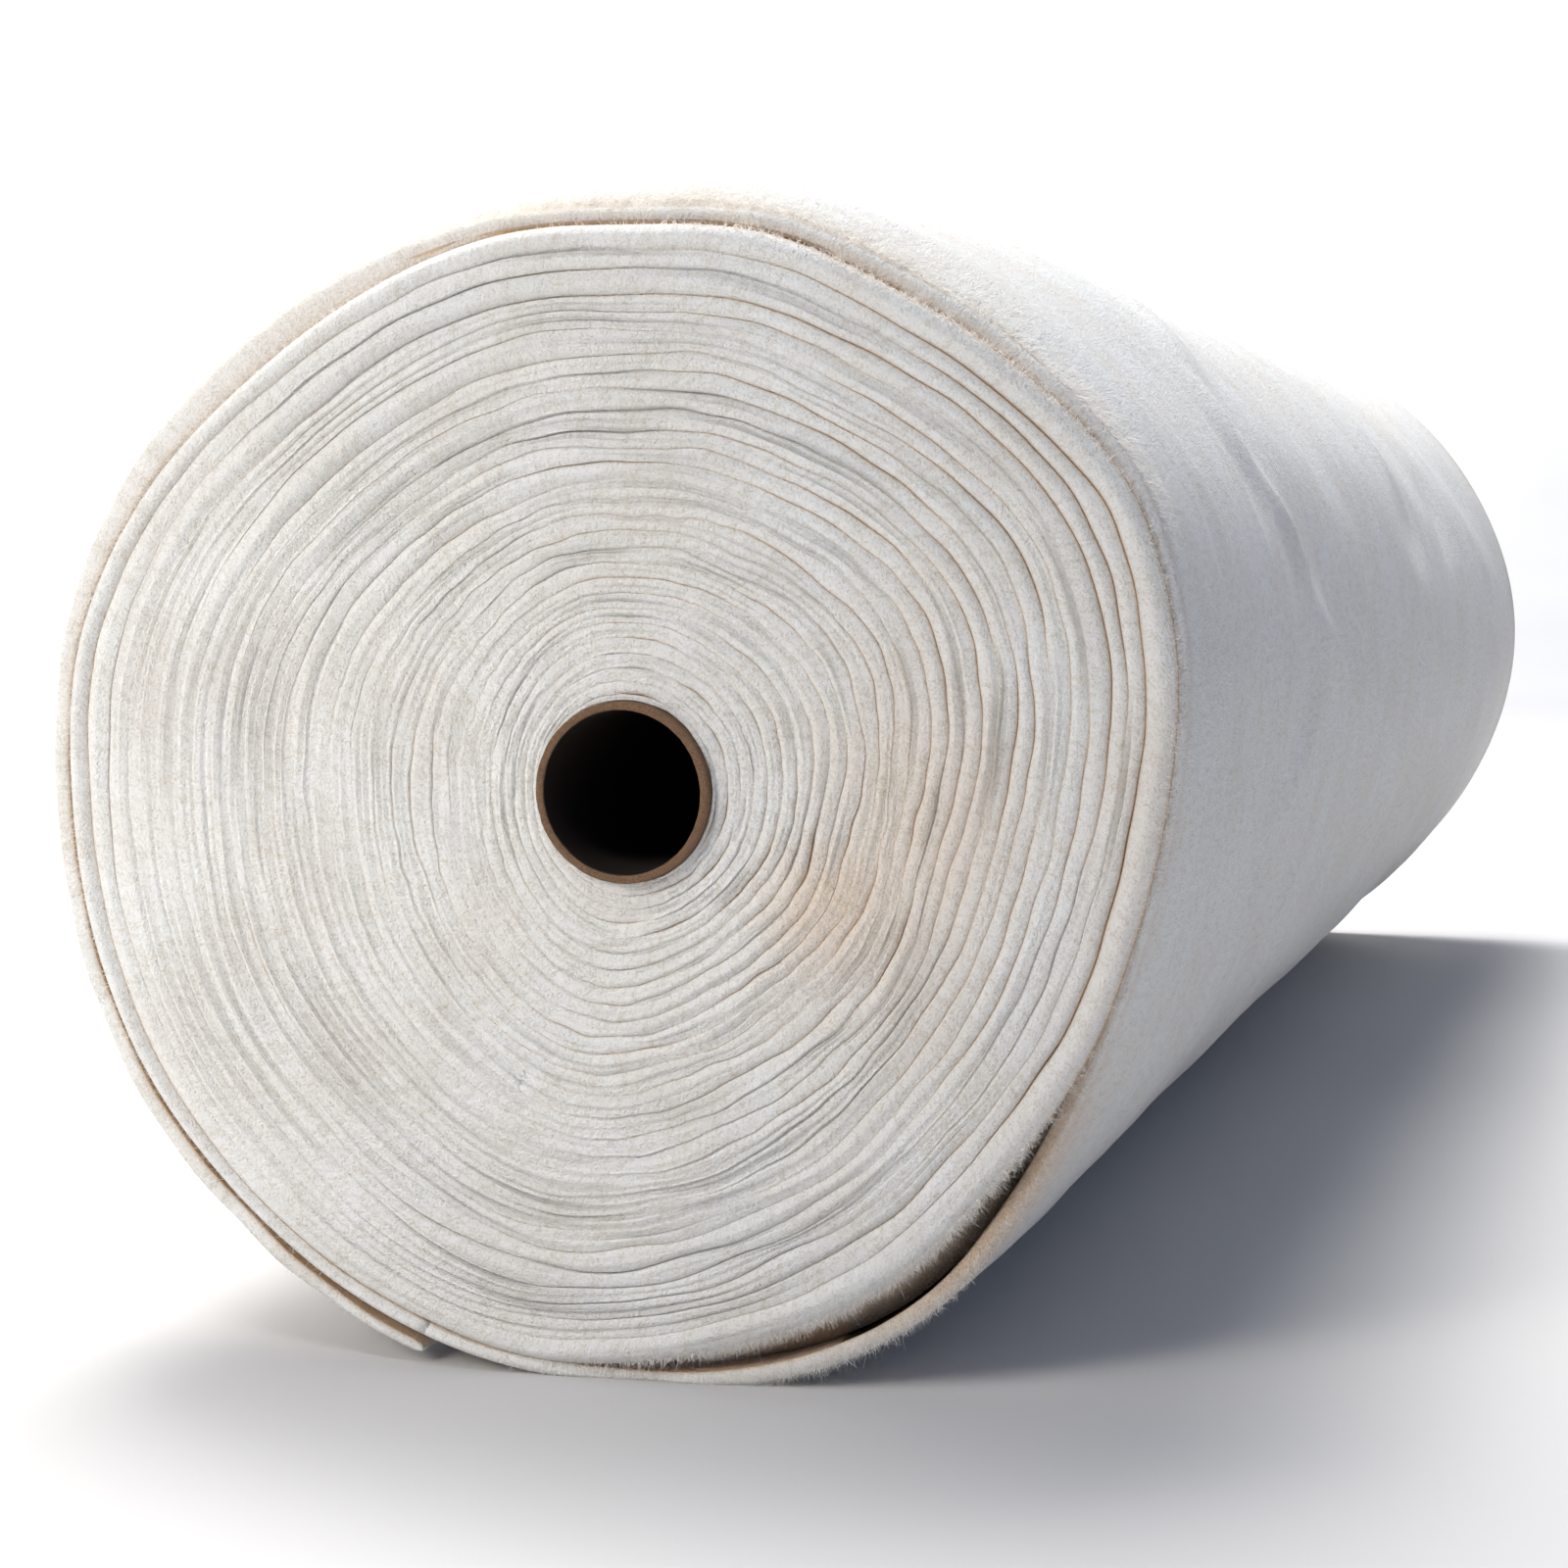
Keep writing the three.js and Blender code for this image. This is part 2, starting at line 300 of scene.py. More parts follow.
@dataclass(frozen=True)
class RollShape:
    """The roll's outline and the places of its turns, in millimetres about the core's axis."""

    core_x: float
    core_z: float
    half_length: float
    core_outside: float
    layer: float = 9.0
    tail_deg: float = 248.0
    tail_ease: float = 0.13
    tail_lift: float = 3.0
    inner_turns: int = 28
    tightness: float = 1.12
    rim_reach: float = 34.0
    core_gap: float = 0.3
    pocket_deg: float = 296.0
    pocket_half: float = 42.0
    pocket_open: float = 15.0
    fat_deg: float = 134.0
    fat_half: float = 40.0
    fat_mm: float = 8.0
    near_rim: tuple[float, ...] = (
        256, 269, 278, 273, 269, 271, 268, 274, 280, 287, 296, 300,
        298, 299, 300, 298, 297, 295, 290, 285, 278, 262, 251, 249,
    )
    near_body: tuple[float, ...] = (
        259, 272, 281, 281, 283, 287, 287, 288, 291, 295, 303, 304,
        299, 299, 300, 298, 297, 295, 290, 285, 279, 266, 258, 254,
    )
    far_body: tuple[float, ...] = (276, 268, 264, 270, 276, 284, 286, 284, 284, 287, 277, 275)
    # Soft swells of the outside: angle, place along, rise, half-width round and half-length
    swells: tuple[tuple[float, float, float, float, float], ...] = (
        (76, 520, 5, 60, 420),
        (18, 420, -4, 24, 150),
        (330, 230, 3, 34, 200),
        (30, 900, 4, 38, 280),
        (330, 760, -3, 30, 300),
        (160, 1050, 4, 44, 320),
        (200, 520, -4, 40, 260),
        (355, 1300, 4, 34, 190),
    )

    @property
    def length(self) -> float:
        """Length of the roll."""
        return 2 * self.half_length

    @property
    def bore(self) -> float:
        """Radius at which the first turn starts."""
        return self.core_outside + self.core_gap

    def angle(self, turns: Array) -> Array:
        """Angle after a number of turns from the start: the tail's angle plus 360 for each turn."""
        return self.tail_deg + 360 * turns

    def outline(self, deg: Array, along: Array) -> Array:
        """Reach of the outside: the near and far outlines blended by a cubic step, plus the swells.

        Close to the near end the outline draws in from the body to the narrower rim.

        Args:
            deg: Angles round the roll.
            along: Distances from the near face.

        Returns:
            Distances from the core's axis.
        """
        body = round_curve(np.array(self.near_body, float), deg)
        rim = round_curve(np.array(self.near_rim, float), deg)
        far = round_curve(np.array(self.far_body, float), deg)
        reach = body + (far - body) * smoothstep(along, 0, self.length)
        for at_deg, at_along, rise, wide, long in self.swells:
            reach = reach + rise * hump(turn_between(at_deg, deg), wide) * hump(along - at_along, long)
        return reach - (body - rim) * (1 - smoothstep(along, 0, 2 * self.rim_reach))

    def tail_dip(self, past: Array) -> Array:
        """Depth of the step beside the tail: one pressed layer at the tail, easing to none.

        Args:
            past: Turns of the outermost wrap past the tail's angle.

        Returns:
            Depths below the outline.
        """
        return (self.layer + self.tail_lift) * (1 - smoothstep(past, 0, self.tail_ease))

    def pocket(self, deg: Array, end: End) -> Array:
        """Opening of the slack pocket under the outermost wrap, which only the near end has.

        Args:
            deg: Angles round the roll.
            end: Which end of the roll.

        Returns:
            Openings, a smooth hump round the pocket's middle.
        """
        if end is End.FAR:
            return 0 * deg
        return self.pocket_open * hump(turn_between(self.pocket_deg, deg), self.pocket_half)

    def fat(self, deg: Array, end: End) -> Array:
        """Added thickness of the outermost wrap's edge, which swells at the near end's upper left.

        Args:
            deg: Angles round the roll.
            end: Which end of the roll.

        Returns:
            Thicknesses, a smooth hump round the swelling's middle.
        """
        if end is End.FAR:
            return 0 * deg
        return self.fat_mm * hump(turn_between(self.fat_deg, deg), self.fat_half)

    def boundary(self, turns: Array, end: End) -> Array:
        """Radius of the surface between two turns, at one end of the roll.

        The first turn swells from nothing on the core. The next ones share the space out to the
        wound body, tighter near the core: the share of the space is the share of the turns to the
        power of the tightness. The last two are one layer each, with the pocket and the wrap's
        swollen edge between them.

        Args:
            turns: Turns wound from the start.
            end: Which end of the roll.

        Returns:
            Distances from the core's axis.
        """
        deg = self.angle(turns)
        along = 0.0 if end is End.NEAR else self.length
        outside = self.outline(deg, along)
        wound = outside - 2 * self.layer - self.pocket(deg, end) - self.fat(deg, end)
        share = np.maximum(turns - 1, 0) / (self.inner_turns - 1)
        inner = self.bore + (wound - self.bore) * share**self.tightness
        past = turns - self.inner_turns
        under = wound + self.layer * smoothstep(past, 0, self.tail_ease)
        under = under - self.tail_lift * smoothstep(past, 0.86, 1)
        outer = outside - self.tail_dip(past - 1)
        return np.where(past <= 0, inner, np.where(past <= 1, under, outer))

    def place(self, deg: Array, reach: Array, along: Array) -> Array:
        """Turns angle, reach and distance from the near face into places in the frame.

        Points below the ground are lifted to it, which presses the flat spot.

        Args:
            deg: Angles round the roll.
            reach: Distances from the core's axis.
            along: Distances from the near face.

        Returns:
            Places in metres, with a last axis of three.
        """
        angle = np.radians(deg)
        x = self.core_x + reach * np.cos(angle) * MM
        z = np.maximum(self.core_z + reach * np.sin(angle) * MM, 0.0)
        y = (along - self.half_length) * MM
        return np.stack(np.broadcast_arrays(x, y, z), -1)


def new_material(name: str) -> tuple[bpy.types.Material, bpy.types.NodeTree]:
    """Makes a material with nothing in its node tree.

    Args:
        name: Name of the material.

    Returns:
        The material and its node tree.
    """
    material = bpy.data.materials.new(name)
    material.use_nodes = True
    material.node_tree.nodes.clear()
    return material, material.node_tree


def add_node(
    tree: bpy.types.NodeTree,
    kind: str,
    links: dict[Any, Any] | None = None,
    stops: tuple[tuple[float, str], ...] = (),
    **settings: Any,
) -> Any:
    """Adds a shader node, sets its properties, and fills or links its inputs.

    Args:
        tree: The node tree.
        kind: Blender's type name of the node.
        links: Input names or numbers, each with a value or with the socket that feeds it.
        stops: Places from 0 to 1 with hex colours, for a node that holds a colour ramp.
        settings: Properties of the node itself.

    Returns:
        The new node.
    """
    node = tree.nodes.new(kind)
    for key, value in settings.items():
        setattr(node, key, value)
    for key, value in (links or {}).items():
        if isinstance(value, bpy.types.NodeSocket):
            tree.links.new(value, node.inputs[key])
        else:
            node.inputs[key].default_value = value
    # A new ramp already holds two stops
    for _ in stops[2:]:
        node.color_ramp.elements.new(0.5)
    for number, (place, colour) in enumerate(stops):
        node.color_ramp.elements[number].position = place
        node.color_ramp.elements[number].color = linear(colour)
    return node


@dataclass(frozen=True)
class BattingFinish:
    """Needle-punched cotton batting: carded white cotton with flecks, felted into a soft matt web.

    The eye sees no gloss, a faint fuzz of light at grazing angles, small dimples from the needles
    and a warm tan where light bounces about in the gaps between turns.
    """

    cotton: str = "#f3f2ee"
    cream: str = "#efebe4"
    # Tan that the gap attribute mixes in: painted shade and bounced light in the gaps between turns
    gap: str = "#cfa877"
    # Warm tint that the warm attribute mixes in: painted bounced light under the wrap's rim, and warm
    # patches low on the right of the near end
    warm: str = "#edd3b6"
    hollow: str = "#e9e4db"
    fibre_mm: float = 1.3
    fibre_share: float = 1.1
    # Tufts are long one way: across the turn's edge, or across the comb's way
    tuft_mm: float = 4.0
    tuft_stretch: float = 2.5
    tuft_share: float = 0.6
    lump_mm: float = 12.0
    lump_share: float = 0.35
    cloud_mm: float = 60.0
    bump_mm: float = 1.3
    gap_power: float = 1.3

    def build(self) -> bpy.types.Material:
        """Builds the material, which reads the piece's cloth UV map and its gap and warm attributes.

        Returns:
            The material.
        """
        material, tree = new_material("needled_cotton_batting")
        place = add_node(tree, "ShaderNodeTexCoord").outputs["Object"]
        cloth = add_node(tree, "ShaderNodeUVMap", uv_map="cloth").outputs["UV"]
        gap = add_node(tree, "ShaderNodeAttribute", attribute_name="gap").outputs["Fac"]
        warm = add_node(tree, "ShaderNodeAttribute", attribute_name="warm").outputs["Fac"]
        clouds = add_node(
            tree, "ShaderNodeTexNoise",
            {"Vector": place, "Scale": 1 / (self.cloud_mm * MM), "Detail": 3.0, "Roughness": 0.55},
        )
        web = add_node(
            tree, "ShaderNodeValToRGB", {"Fac": clouds.outputs["Fac"]},
            stops=((0.35, self.cream), (0.62, self.cotton)),
        )
        warmed = add_node(
            tree, "ShaderNodeMix",
            {"Factor": warm, 6: web.outputs["Color"], 7: linear(self.warm)}, data_type="RGBA",
        )
        # Painted shade: the gap attribute mixes the tan of shade and bounced light into the gaps
        deep = add_node(tree, "ShaderNodeMath", {0: gap, 1: self.gap_power}, operation="POWER")
        tanned = add_node(
            tree, "ShaderNodeMix",
            {"Factor": deep.outputs[0], 6: warmed.outputs[2], 7: linear(self.gap)}, data_type="RGBA",
        )
        tuft = self.tuft_mm * MM
        stretched = add_node(
            tree, "ShaderNodeMapping",
            {"Vector": cloth, "Scale": (1 / tuft, 1 / (self.tuft_stretch * tuft), 1.0)},
        )
        tufts = add_node(
            tree, "ShaderNodeTexNoise",
            {"Vector": stretched.outputs["Vector"], "Scale": 1.0, "Detail": 2.0, "Roughness": 0.5},
        )
        combed = add_node(
            tree, "ShaderNodeMath", {0: tufts.outputs["Fac"], 1: self.tuft_share}, operation="MULTIPLY"
        )
        fibres = add_node(
            tree, "ShaderNodeTexNoise",
            {"Vector": place, "Scale": 1 / (self.fibre_mm * MM), "Detail": 2.0, "Roughness": 0.7},
        )
        lumps = add_node(
            tree, "ShaderNodeTexNoise",
            {"Vector": place, "Scale": 1 / (self.lump_mm * MM), "Detail": 2.0, "Roughness": 0.5},
        )
        woolly = add_node(
            tree, "ShaderNodeMath",
            {0: fibres.outputs["Fac"], 1: self.fibre_share, 2: combed.outputs[0]},
            operation="MULTIPLY_ADD",
        )
        relief = add_node(
            tree, "ShaderNodeMath",
            {0: lumps.outputs["Fac"], 1: self.lump_share, 2: woolly.outputs[0]},
            operation="MULTIPLY_ADD",
        )
        bump = add_node(
            tree, "ShaderNodeBump",
            {"Height": relief.outputs[0], "Distance": self.bump_mm * MM, "Strength": 1.0},
        )
        # Light is lost between the tufts, so the hollows of the relief are a little darker
        hollow = add_node(
            tree, "ShaderNodeValToRGB", {"Fac": woolly.outputs[0]},
            stops=((0.6, self.hollow), (0.88, "#ffffff")),
        )
        colour = add_node(
            tree, "ShaderNodeMix",
            {"Factor": 1.0, 6: tanned.outputs[2], 7: hollow.outputs["Color"]},
            data_type="RGBA", blend_type="MULTIPLY",
        )
        shader = add_node(
            tree, "ShaderNodeBsdfPrincipled",
            {
                "Base Color": colour.outputs[2],
                "Roughness": 0.95,
                "Normal": bump.outputs["Normal"],
                "Sheen Weight": 0.25,
                "Sheen Roughness": 0.6,
                "Specular IOR Level": 0.15,
            },
        )
        add_node(tree, "ShaderNodeOutputMaterial", {"Surface": shader.outputs["BSDF"]})
        return material


@dataclass(frozen=True)
class KraftFinish:
    """Spiral-wound kraft paperboard: brown, matt and fibrous, cut with a rough layered rim."""

    face: str = "#937459"
    ply: str = "#4a3729"
    # The bore's wall is painted near black: painted shade deep inside the tube
    inside: str = "#251c16"
    ply_mm: float = 0.55
    ply_share: float = 0.22
    fibre_mm: float = 0.8
    bump_mm: float = 0.35

    def build(self) -> bpy.types.Material:
        """Builds the material, which reads the wall and inside attributes of the core.

        Returns:
            The material.
        """
        material, tree = new_material("spiral_wound_paperboard")
        place = add_node(tree, "ShaderNodeTexCoord").outputs["Object"]
        depth = add_node(tree, "ShaderNodeAttribute", attribute_name="wall").outputs["Fac"]
        inside = add_node(tree, "ShaderNodeAttribute", attribute_name="inside").outputs["Fac"]
        fibres = add_node(
            tree, "ShaderNodeTexNoise",
            {"Vector": place, "Scale": 1 / (self.fibre_mm * MM), "Detail": 4.0, "Roughness": 0.7},
        )
        layers = add_node(
            tree, "ShaderNodeMath", {0: depth, 1: 2 * math.pi / self.ply_mm}, operation="MULTIPLY"
        )
        lines = add_node(tree, "ShaderNodeMath", {0: layers.outputs[0]}, operation="SINE")
        layered = add_node(
            tree, "ShaderNodeMath",
            {0: lines.outputs[0], 1: self.ply_share, 2: fibres.outputs["Fac"]},
            operation="MULTIPLY_ADD",
        )
        board = add_node(
            tree, "ShaderNodeValToRGB", {"Fac": layered.outputs[0]},
            stops=((0.3, self.ply), (0.7, self.face)),
        )
        # Painted shade: the inside attribute turns the bore's wall near black
        colour = add_node(
            tree, "ShaderNodeMix",
            {"Factor": inside, 6: board.outputs["Color"], 7: linear(self.inside)}, data_type="RGBA",
        )
        bump = add_node(
            tree, "ShaderNodeBump",
            {"Height": layered.outputs[0], "Distance": self.bump_mm * MM, "Strength": 0.5},
        )
        shader = add_node(
            tree, "ShaderNodeBsdfPrincipled",
            {
                "Base Color": colour.outputs[2],
                "Roughness": 0.88,
                "Normal": bump.outputs["Normal"],
                "Specular IOR Level": 0.25,
            },
        )
        add_node(tree, "ShaderNodeOutputMaterial", {"Surface": shader.outputs["BSDF"]})
        return material


@dataclass
class Turns:
    """The cloth's turns under the outermost wrap, each one double layer with a fold at the near end.

    A closed section runs over the near fold, along the roll and over the two cut edges at the far
    end, and it is carried along the winding. The whole turns are called lanes and counted from 0.
    """

    shape: RollShape
    samples: int = 268
    groove_mm: float = 2.1
    split_mm: float = 0.35
    crevice_mm: float = 0.02
    far_crevice_mm: float = 0.35
    far_notch_mm: float = 4.0
    # Form of a fold's crest, how much crisper a sharp gap cuts it, and the width of its parting
    crest_power: float = 2.1
    crisp: float = 0.22
    parting_width: float = 0.16
    # Least roundness of a fold, how much of it goes on the calm left, and the last fold's own
    least_round: float = 0.32
    calm_round: float = 0.27
    last_round: float = 0.9
    last_forward_mm: float = 1.2
    # Mean steps from turn to turn, by which the gaps and the edges read their uneven fields
    gap_step_mm: float = 7.6
    edge_step_mm: float = 8.0
    # Thinnest turn, depth of the fold's flank behind its edge, and the tan of the painted shade on the
    # flanks and in the far edge's notch
    least_mm: float = 1.2
    throat_mm: float = 7.0
    shade_tint: float = 0.9
    # Uneven parts: share of the pitch, and millimetres out, back by turns, back in place, and along
    wander_share: float = 0.26
    pucker_mm: float = 0.4
    swell_mm: float = 1.2
    slip_mm: float = 0.7
    far_slip_mm: float = 1.4
    dimple_mm: float = 0.35
    # Places across the near fold, from the side of the core to the outer side
    near_across: tuple[float, ...] = (
        -1, -0.97, -0.88, -0.7, -0.42, -0.16, 0, 0.16, 0.42, 0.7, 0.88, 0.97, 1,
    )
    far_columns: int = 7
    pocket_deep: float = 30.0
    # Recess of the near folds behind the foremost one, by share of the way out
    near_recess: tuple[tuple[float, float], ...] = (
        (0.0, -1.5), (0.05, 0.8), (0.2, 3.0), (0.45, 5.0), (0.7, 3.0), (0.9, 1.5), (1.0, 0.5),
    )
    far_recess: tuple[tuple[float, float], ...] = (
        (0.0, 5.0), (0.3, 0.0), (0.6, 7.0), (0.85, 3.0), (1.0, 8.0),
    )
    # How sharply the gaps show on the near end, every 30 degrees, near the core and at the outside, and
    # how much painted tan shade they take at the outside
    gaps_inside: tuple[float, ...] = (0.5, 0.45, 0.4, 0.4, 0.35, 0.35, 0.35, 0.4, 0.42, 0.5, 0.55, 0.6)
    gaps_outside: tuple[float, ...] = (0.7, 0.75, 0.65, 0.4, 0.3, 0.16, 0.1, 0.12, 0.2, 0.34, 0.5, 0.6)
    tan_outside: tuple[float, ...] = (0.9, 1.0, 0.9, 0.4, 0.35, 0.5, 0.6, 0.5, 0.35, 0.3, 0.45, 0.75)
    # How far the last lane's fold flares out over the edge of the wrap, every 30 degrees
    flare: tuple[float, ...] = (5.5, 4, 1, 0, 0, 0, 0, 0, 0, 0, 2, 5)
    # Thick ridges of the near end: turns wound, angle, half-width in degrees, growth, forwardness
    # and roundness
    ridges: tuple[tuple[float, float, float, float, float, float], ...] = (
        (25.4, 112, 66, 4.5, 3.0, 1.9),
        (22.4, 118, 60, 5.5, 3.6, 2.1),
        (19.3, 128, 46, 2.5, 1.8, 1.5),
        (15.3, 118, 50, 2.0, 1.2, 0.9),
        (11.4, 105, 46, 1.5, 0.8, 0.6),
        (10.1, 212, 22, 1.5, 1.0, 0.6),
        (8.8, 302, 26, 2.5, 1.4, 0.9),
        (13.9, 284, 34, 1.8, 1.0, 0.7),
        (17.9, 262, 40, 1.6, 0.9, 0.6),
        (21.9, 268, 46, 1.8, 1.0, 0.7),
        (24.9, 290, 34, 2.4, 1.2, 0.8),
        (23.5, 66, 30, 2.0, 1.0, 0.6),
        (18.6, 30, 34, 1.5, 0.8, 0.5),
        (5.6, 20, 40, 1.0, 0.8, 0.5),
    )
    # Dark gaps: turns wound below the gap, angle, half-width in degrees, added sharpness
    dark_gaps: tuple[tuple[float, float, float, float], ...] = (
        (25.4, 112, 56, 0.5),
        (22.4, 120, 50, 0.55),
        (15.3, 122, 44, 0.4),
        (18.3, 120, 24, 0.3),
        (12.4, 100, 34, 0.25),
        (9.4, 92, 40, 0.25),
        (5.6, 10, 60, 0.3),
        (8.8, 318, 40, 0.35),
        (27.8, 180, 66, 0.75),
        (26.8, 186, 56, 0.45),
        (27.6, 345, 44, 0.5),
        (27.6, 40, 50, 0.6),
        (26.6, 30, 40, 0.6),
        (25.6, 36, 34, 0.4),
        (21.2, 330, 34, 0.35),
        (23.2, 322, 30, 0.35),
        (14.9, 215, 46, 0.2),
        (6.2, 325, 26, 0.5),
        (7.3, 328, 24, 0.5),
        (10.0, 330, 30, 0.35),
    )
    # Shifts of the turns out or in: angle, half-width, share of the way out, half-share, millimetres
    shifts: tuple[tuple[float, float, float, float, float], ...] = (
        (168, 78, 0.8, 0.2, -8),
        (182, 88, 0.36, 0.42, -20),
        (96, 50, 0.6, 0.4, -4),
        (28, 44, 0.6, 0.4, 5),
        (300, 44, 0.35, 0.3, -5),
        (325, 26, 0.5, 0.25, 5),
        (262, 40, 0.7, 0.3, 4),
        (226, 30, 0.8, 0.2, -3),
    )
    wander: Ripple = field(default_factory=lambda: Ripple(11, 30, (2, 11), (18.0, 70.0)))
    slip: Ripple = field(default_factory=lambda: Ripple(13, 30, (1, 9), (9.0, 40.0)))
    swell: Ripple = field(default_factory=lambda: Ripple(16, 20, (1, 6), (50.0, 150.0)))
    firmness: Ripple = field(default_factory=lambda: Ripple(14, 34, (1, 9), (9.0, 32.0)))
    pucker: Ripple = field(default_factory=lambda: Ripple(15, 34, (8, 40), (10.0, 50.0)))

    def crumple(self, deg: Array, share: Array) -> Array:
        """How much the turns crumple at a place: most at the lower right, least at the left.

        Args:
            deg: Angles round the roll.
            share: Shares of the way out from the core.

        Returns:
            Amounts from about 0.2 to 0.8.
        """
        low = hump(turn_between(276, deg), 70) * smoothstep(share, 0.3, 0.7)
        right = hump(turn_between(330, deg), 60) * hump(share - 0.4, 0.45)
        left = hump(turn_between(175, deg), 70) * smoothstep(share, 0.4, 0.7)
        return 0.4 + 0.12 * low + 0.3 * right - 0.2 * left

    def lanes_from(self, turns: Array, at_turns: float, at_deg: float) -> Array:
        """Whole turns outwards from the boundary that passes nearest to a named place.

        The count follows the winding half a turn each way from the named angle, so what is placed
        by it runs on past the tail's angle.

        Args:
            turns: Turns wound at the boundaries.
            at_turns: Turns wound at the named place.
            at_deg: Angle of the named place.

        Returns:
            Whole numbers, 0 at the named boundary.
        """
        phase = ((at_deg - self.shape.tail_deg) / 360) % 1
        start = phase + round(at_turns - phase)
        past = turn_between(at_deg, self.shape.angle(turns)) / 360
        return np.round(turns - start - past)

    def boundary(self, turns: Array, end: End) -> Array:
        """Radius between two turns with the shifts, ridges and crumpling of the near end added.

        Args:
            turns: Turns wound from the start.
            end: Which end of the roll.

        Returns:
            Distances from the core's axis.
        """
        shape = self.shape
        reach = shape.boundary(turns, end)
        if end is End.FAR:
            return reach
        deg = shape.angle(turns)
        share = turns / shape.inner_turns
        free = np.clip(1.2 * (turns - 1), 0, 1) * np.clip(1.5 * (shape.inner_turns + 0.3 - turns), 0, 1)
        pitch = (reach - shape.bore) / np.maximum(turns - 1, 1)
        calm = 0.25 + 0.75 * smoothstep(reach, 55, 130)
        moved = self.wander_share * pitch * calm * self.crumple(deg, share) * self.wander.at(deg, reach)
        for at_deg, half, at_share, half_share, shift in self.shifts:
            push = shift * hump(turn_between(at_deg, deg), half)
            moved = moved + push * hump(share - at_share, half_share)
        for at_turns, at_deg, half, growth, _, _ in self.ridges:
            away = self.lanes_from(turns, at_turns, at_deg) - 0.5
            pull = away * np.exp(-(away**2) / 1.28)
            moved = moved + growth * pull * hump(turn_between(at_deg, deg), half)
        carried = smoothstep(turns, 18, 27.5) * (turns <= shape.inner_turns)
        moved = moved + self.pucker_mm * calm * self.pucker.at(deg, reach)
        return reach + moved * free + self.flare_at(deg) * carried

    def flare_at(self, deg: Array) -> Array:
        """How far the last lane's fold flares out over the edge of the wrap."""
        return round_curve(np.array(self.flare, float), deg)

    def sharpness(self, turns: Array) -> tuple[Array, Array]:
        """How deep the gap below a boundary shows on the near end, and how much painted tan shade it
        takes.

        Args:
            turns: Turns wound at the boundary.

        Returns:
            Depths and amounts of painted tan shade, from 0 up to about 1.6.
        """
        shape = self.shape
        deg = shape.angle(turns)
        share = np.clip(turns / shape.inner_turns, 0, 1)
        reach = shape.bore + self.gap_step_mm * turns
        inside = round_curve(np.array(self.gaps_inside), deg)
        outside = round_curve(np.array(self.gaps_outside), deg)
        out = smoothstep(share, 0.3, 0.75)
        level = inside + (outside - inside) * out
        level = level * (1 + 0.85 * self.firmness.at(deg, reach))
        for at_turns, at_deg, half, more in self.dark_gaps:
            there = self.lanes_from(turns, at_turns, at_deg) == 0
            level = level + more * hump(turn_between(at_deg, deg), half) * there
        rim = smoothstep(turns, shape.inner_turns - 0.2, shape.inner_turns)
        level = np.clip(level, 0.03, 1.6) * (1 - rim) + 1.5 * rim
        tan = 0.7 + (round_curve(np.array(self.tan_outside), deg) - 0.7) * out
        return level, np.clip(level * tan, 0, 1.2)

    def least(self, turns: Array) -> Array:
        """Least roundness of the folds, which all but goes where the left of the end lies calm.

        Args:
            turns: Turns wound at the lane's inner boundary.

        Returns:
            Roundness as shares of the groove depth.
        """
        share = turns / self.shape.inner_turns
        calm = hump(turn_between(192, self.shape.angle(turns)), 84) * smoothstep(share, 0.34, 0.5)
        return self.least_round - self.calm_round * calm * (1 - smoothstep(share, 0.88, 0.94))

    def ridge_lift(self, turns: Array) -> tuple[Array, Array]:
        """Forwardness and added roundness of the thick ridges on a lane.

        Args:
            turns: Turns wound at the lane's inner boundary.

        Returns:
            Forwardness in millimetres and roundness as added share of the groove depth.
        """
        deg = self.shape.angle(turns)
        lane = np.floor(turns + 1e-9)
        forward = 0 * turns
        rounder = 0 * turns
        for at_turns, at_deg, half, _, lift, more in self.ridges:
            there = self.lanes_from(turns, at_turns, at_deg) == 0
            weight = hump(turn_between(at_deg, deg), half) * there
            forward = forward + lift * weight
            rounder = rounder + more * weight
        last = (lane >= self.shape.inner_turns - 1) * 1.0
        return forward + self.last_forward_mm * last, rounder + self.last_round * last

    def recess(self, turns: Array, end: End) -> Array:
        """How far the turns' edges lie behind the roll's end, read smoothly from turn to turn.

        Args:
            turns: Turns wound from the start.
            end: Which end of the roll.

        Returns:
            Depths from the end's foremost plane.
        """
        shape = self.shape
        table = np.array(self.near_recess if end is End.NEAR else self.far_recess)
        share = turns / (shape.inner_turns + 1)
        back = np.interp(share, table[:, 0], table[:, 1])
        deg = shape.angle(turns)
        reach = shape.bore + turns * self.edge_step_mm
        if end is End.FAR:
            return back + self.far_slip_mm * self.slip.at(deg + 40, reach)
        free = smoothstep(share, 0.02, 0.2)
        back = back + self.swell_mm * free * self.swell.at(deg, reach)
        return back + self.slip_mm * self.crumple(deg, share) * self.slip.at(deg, reach)

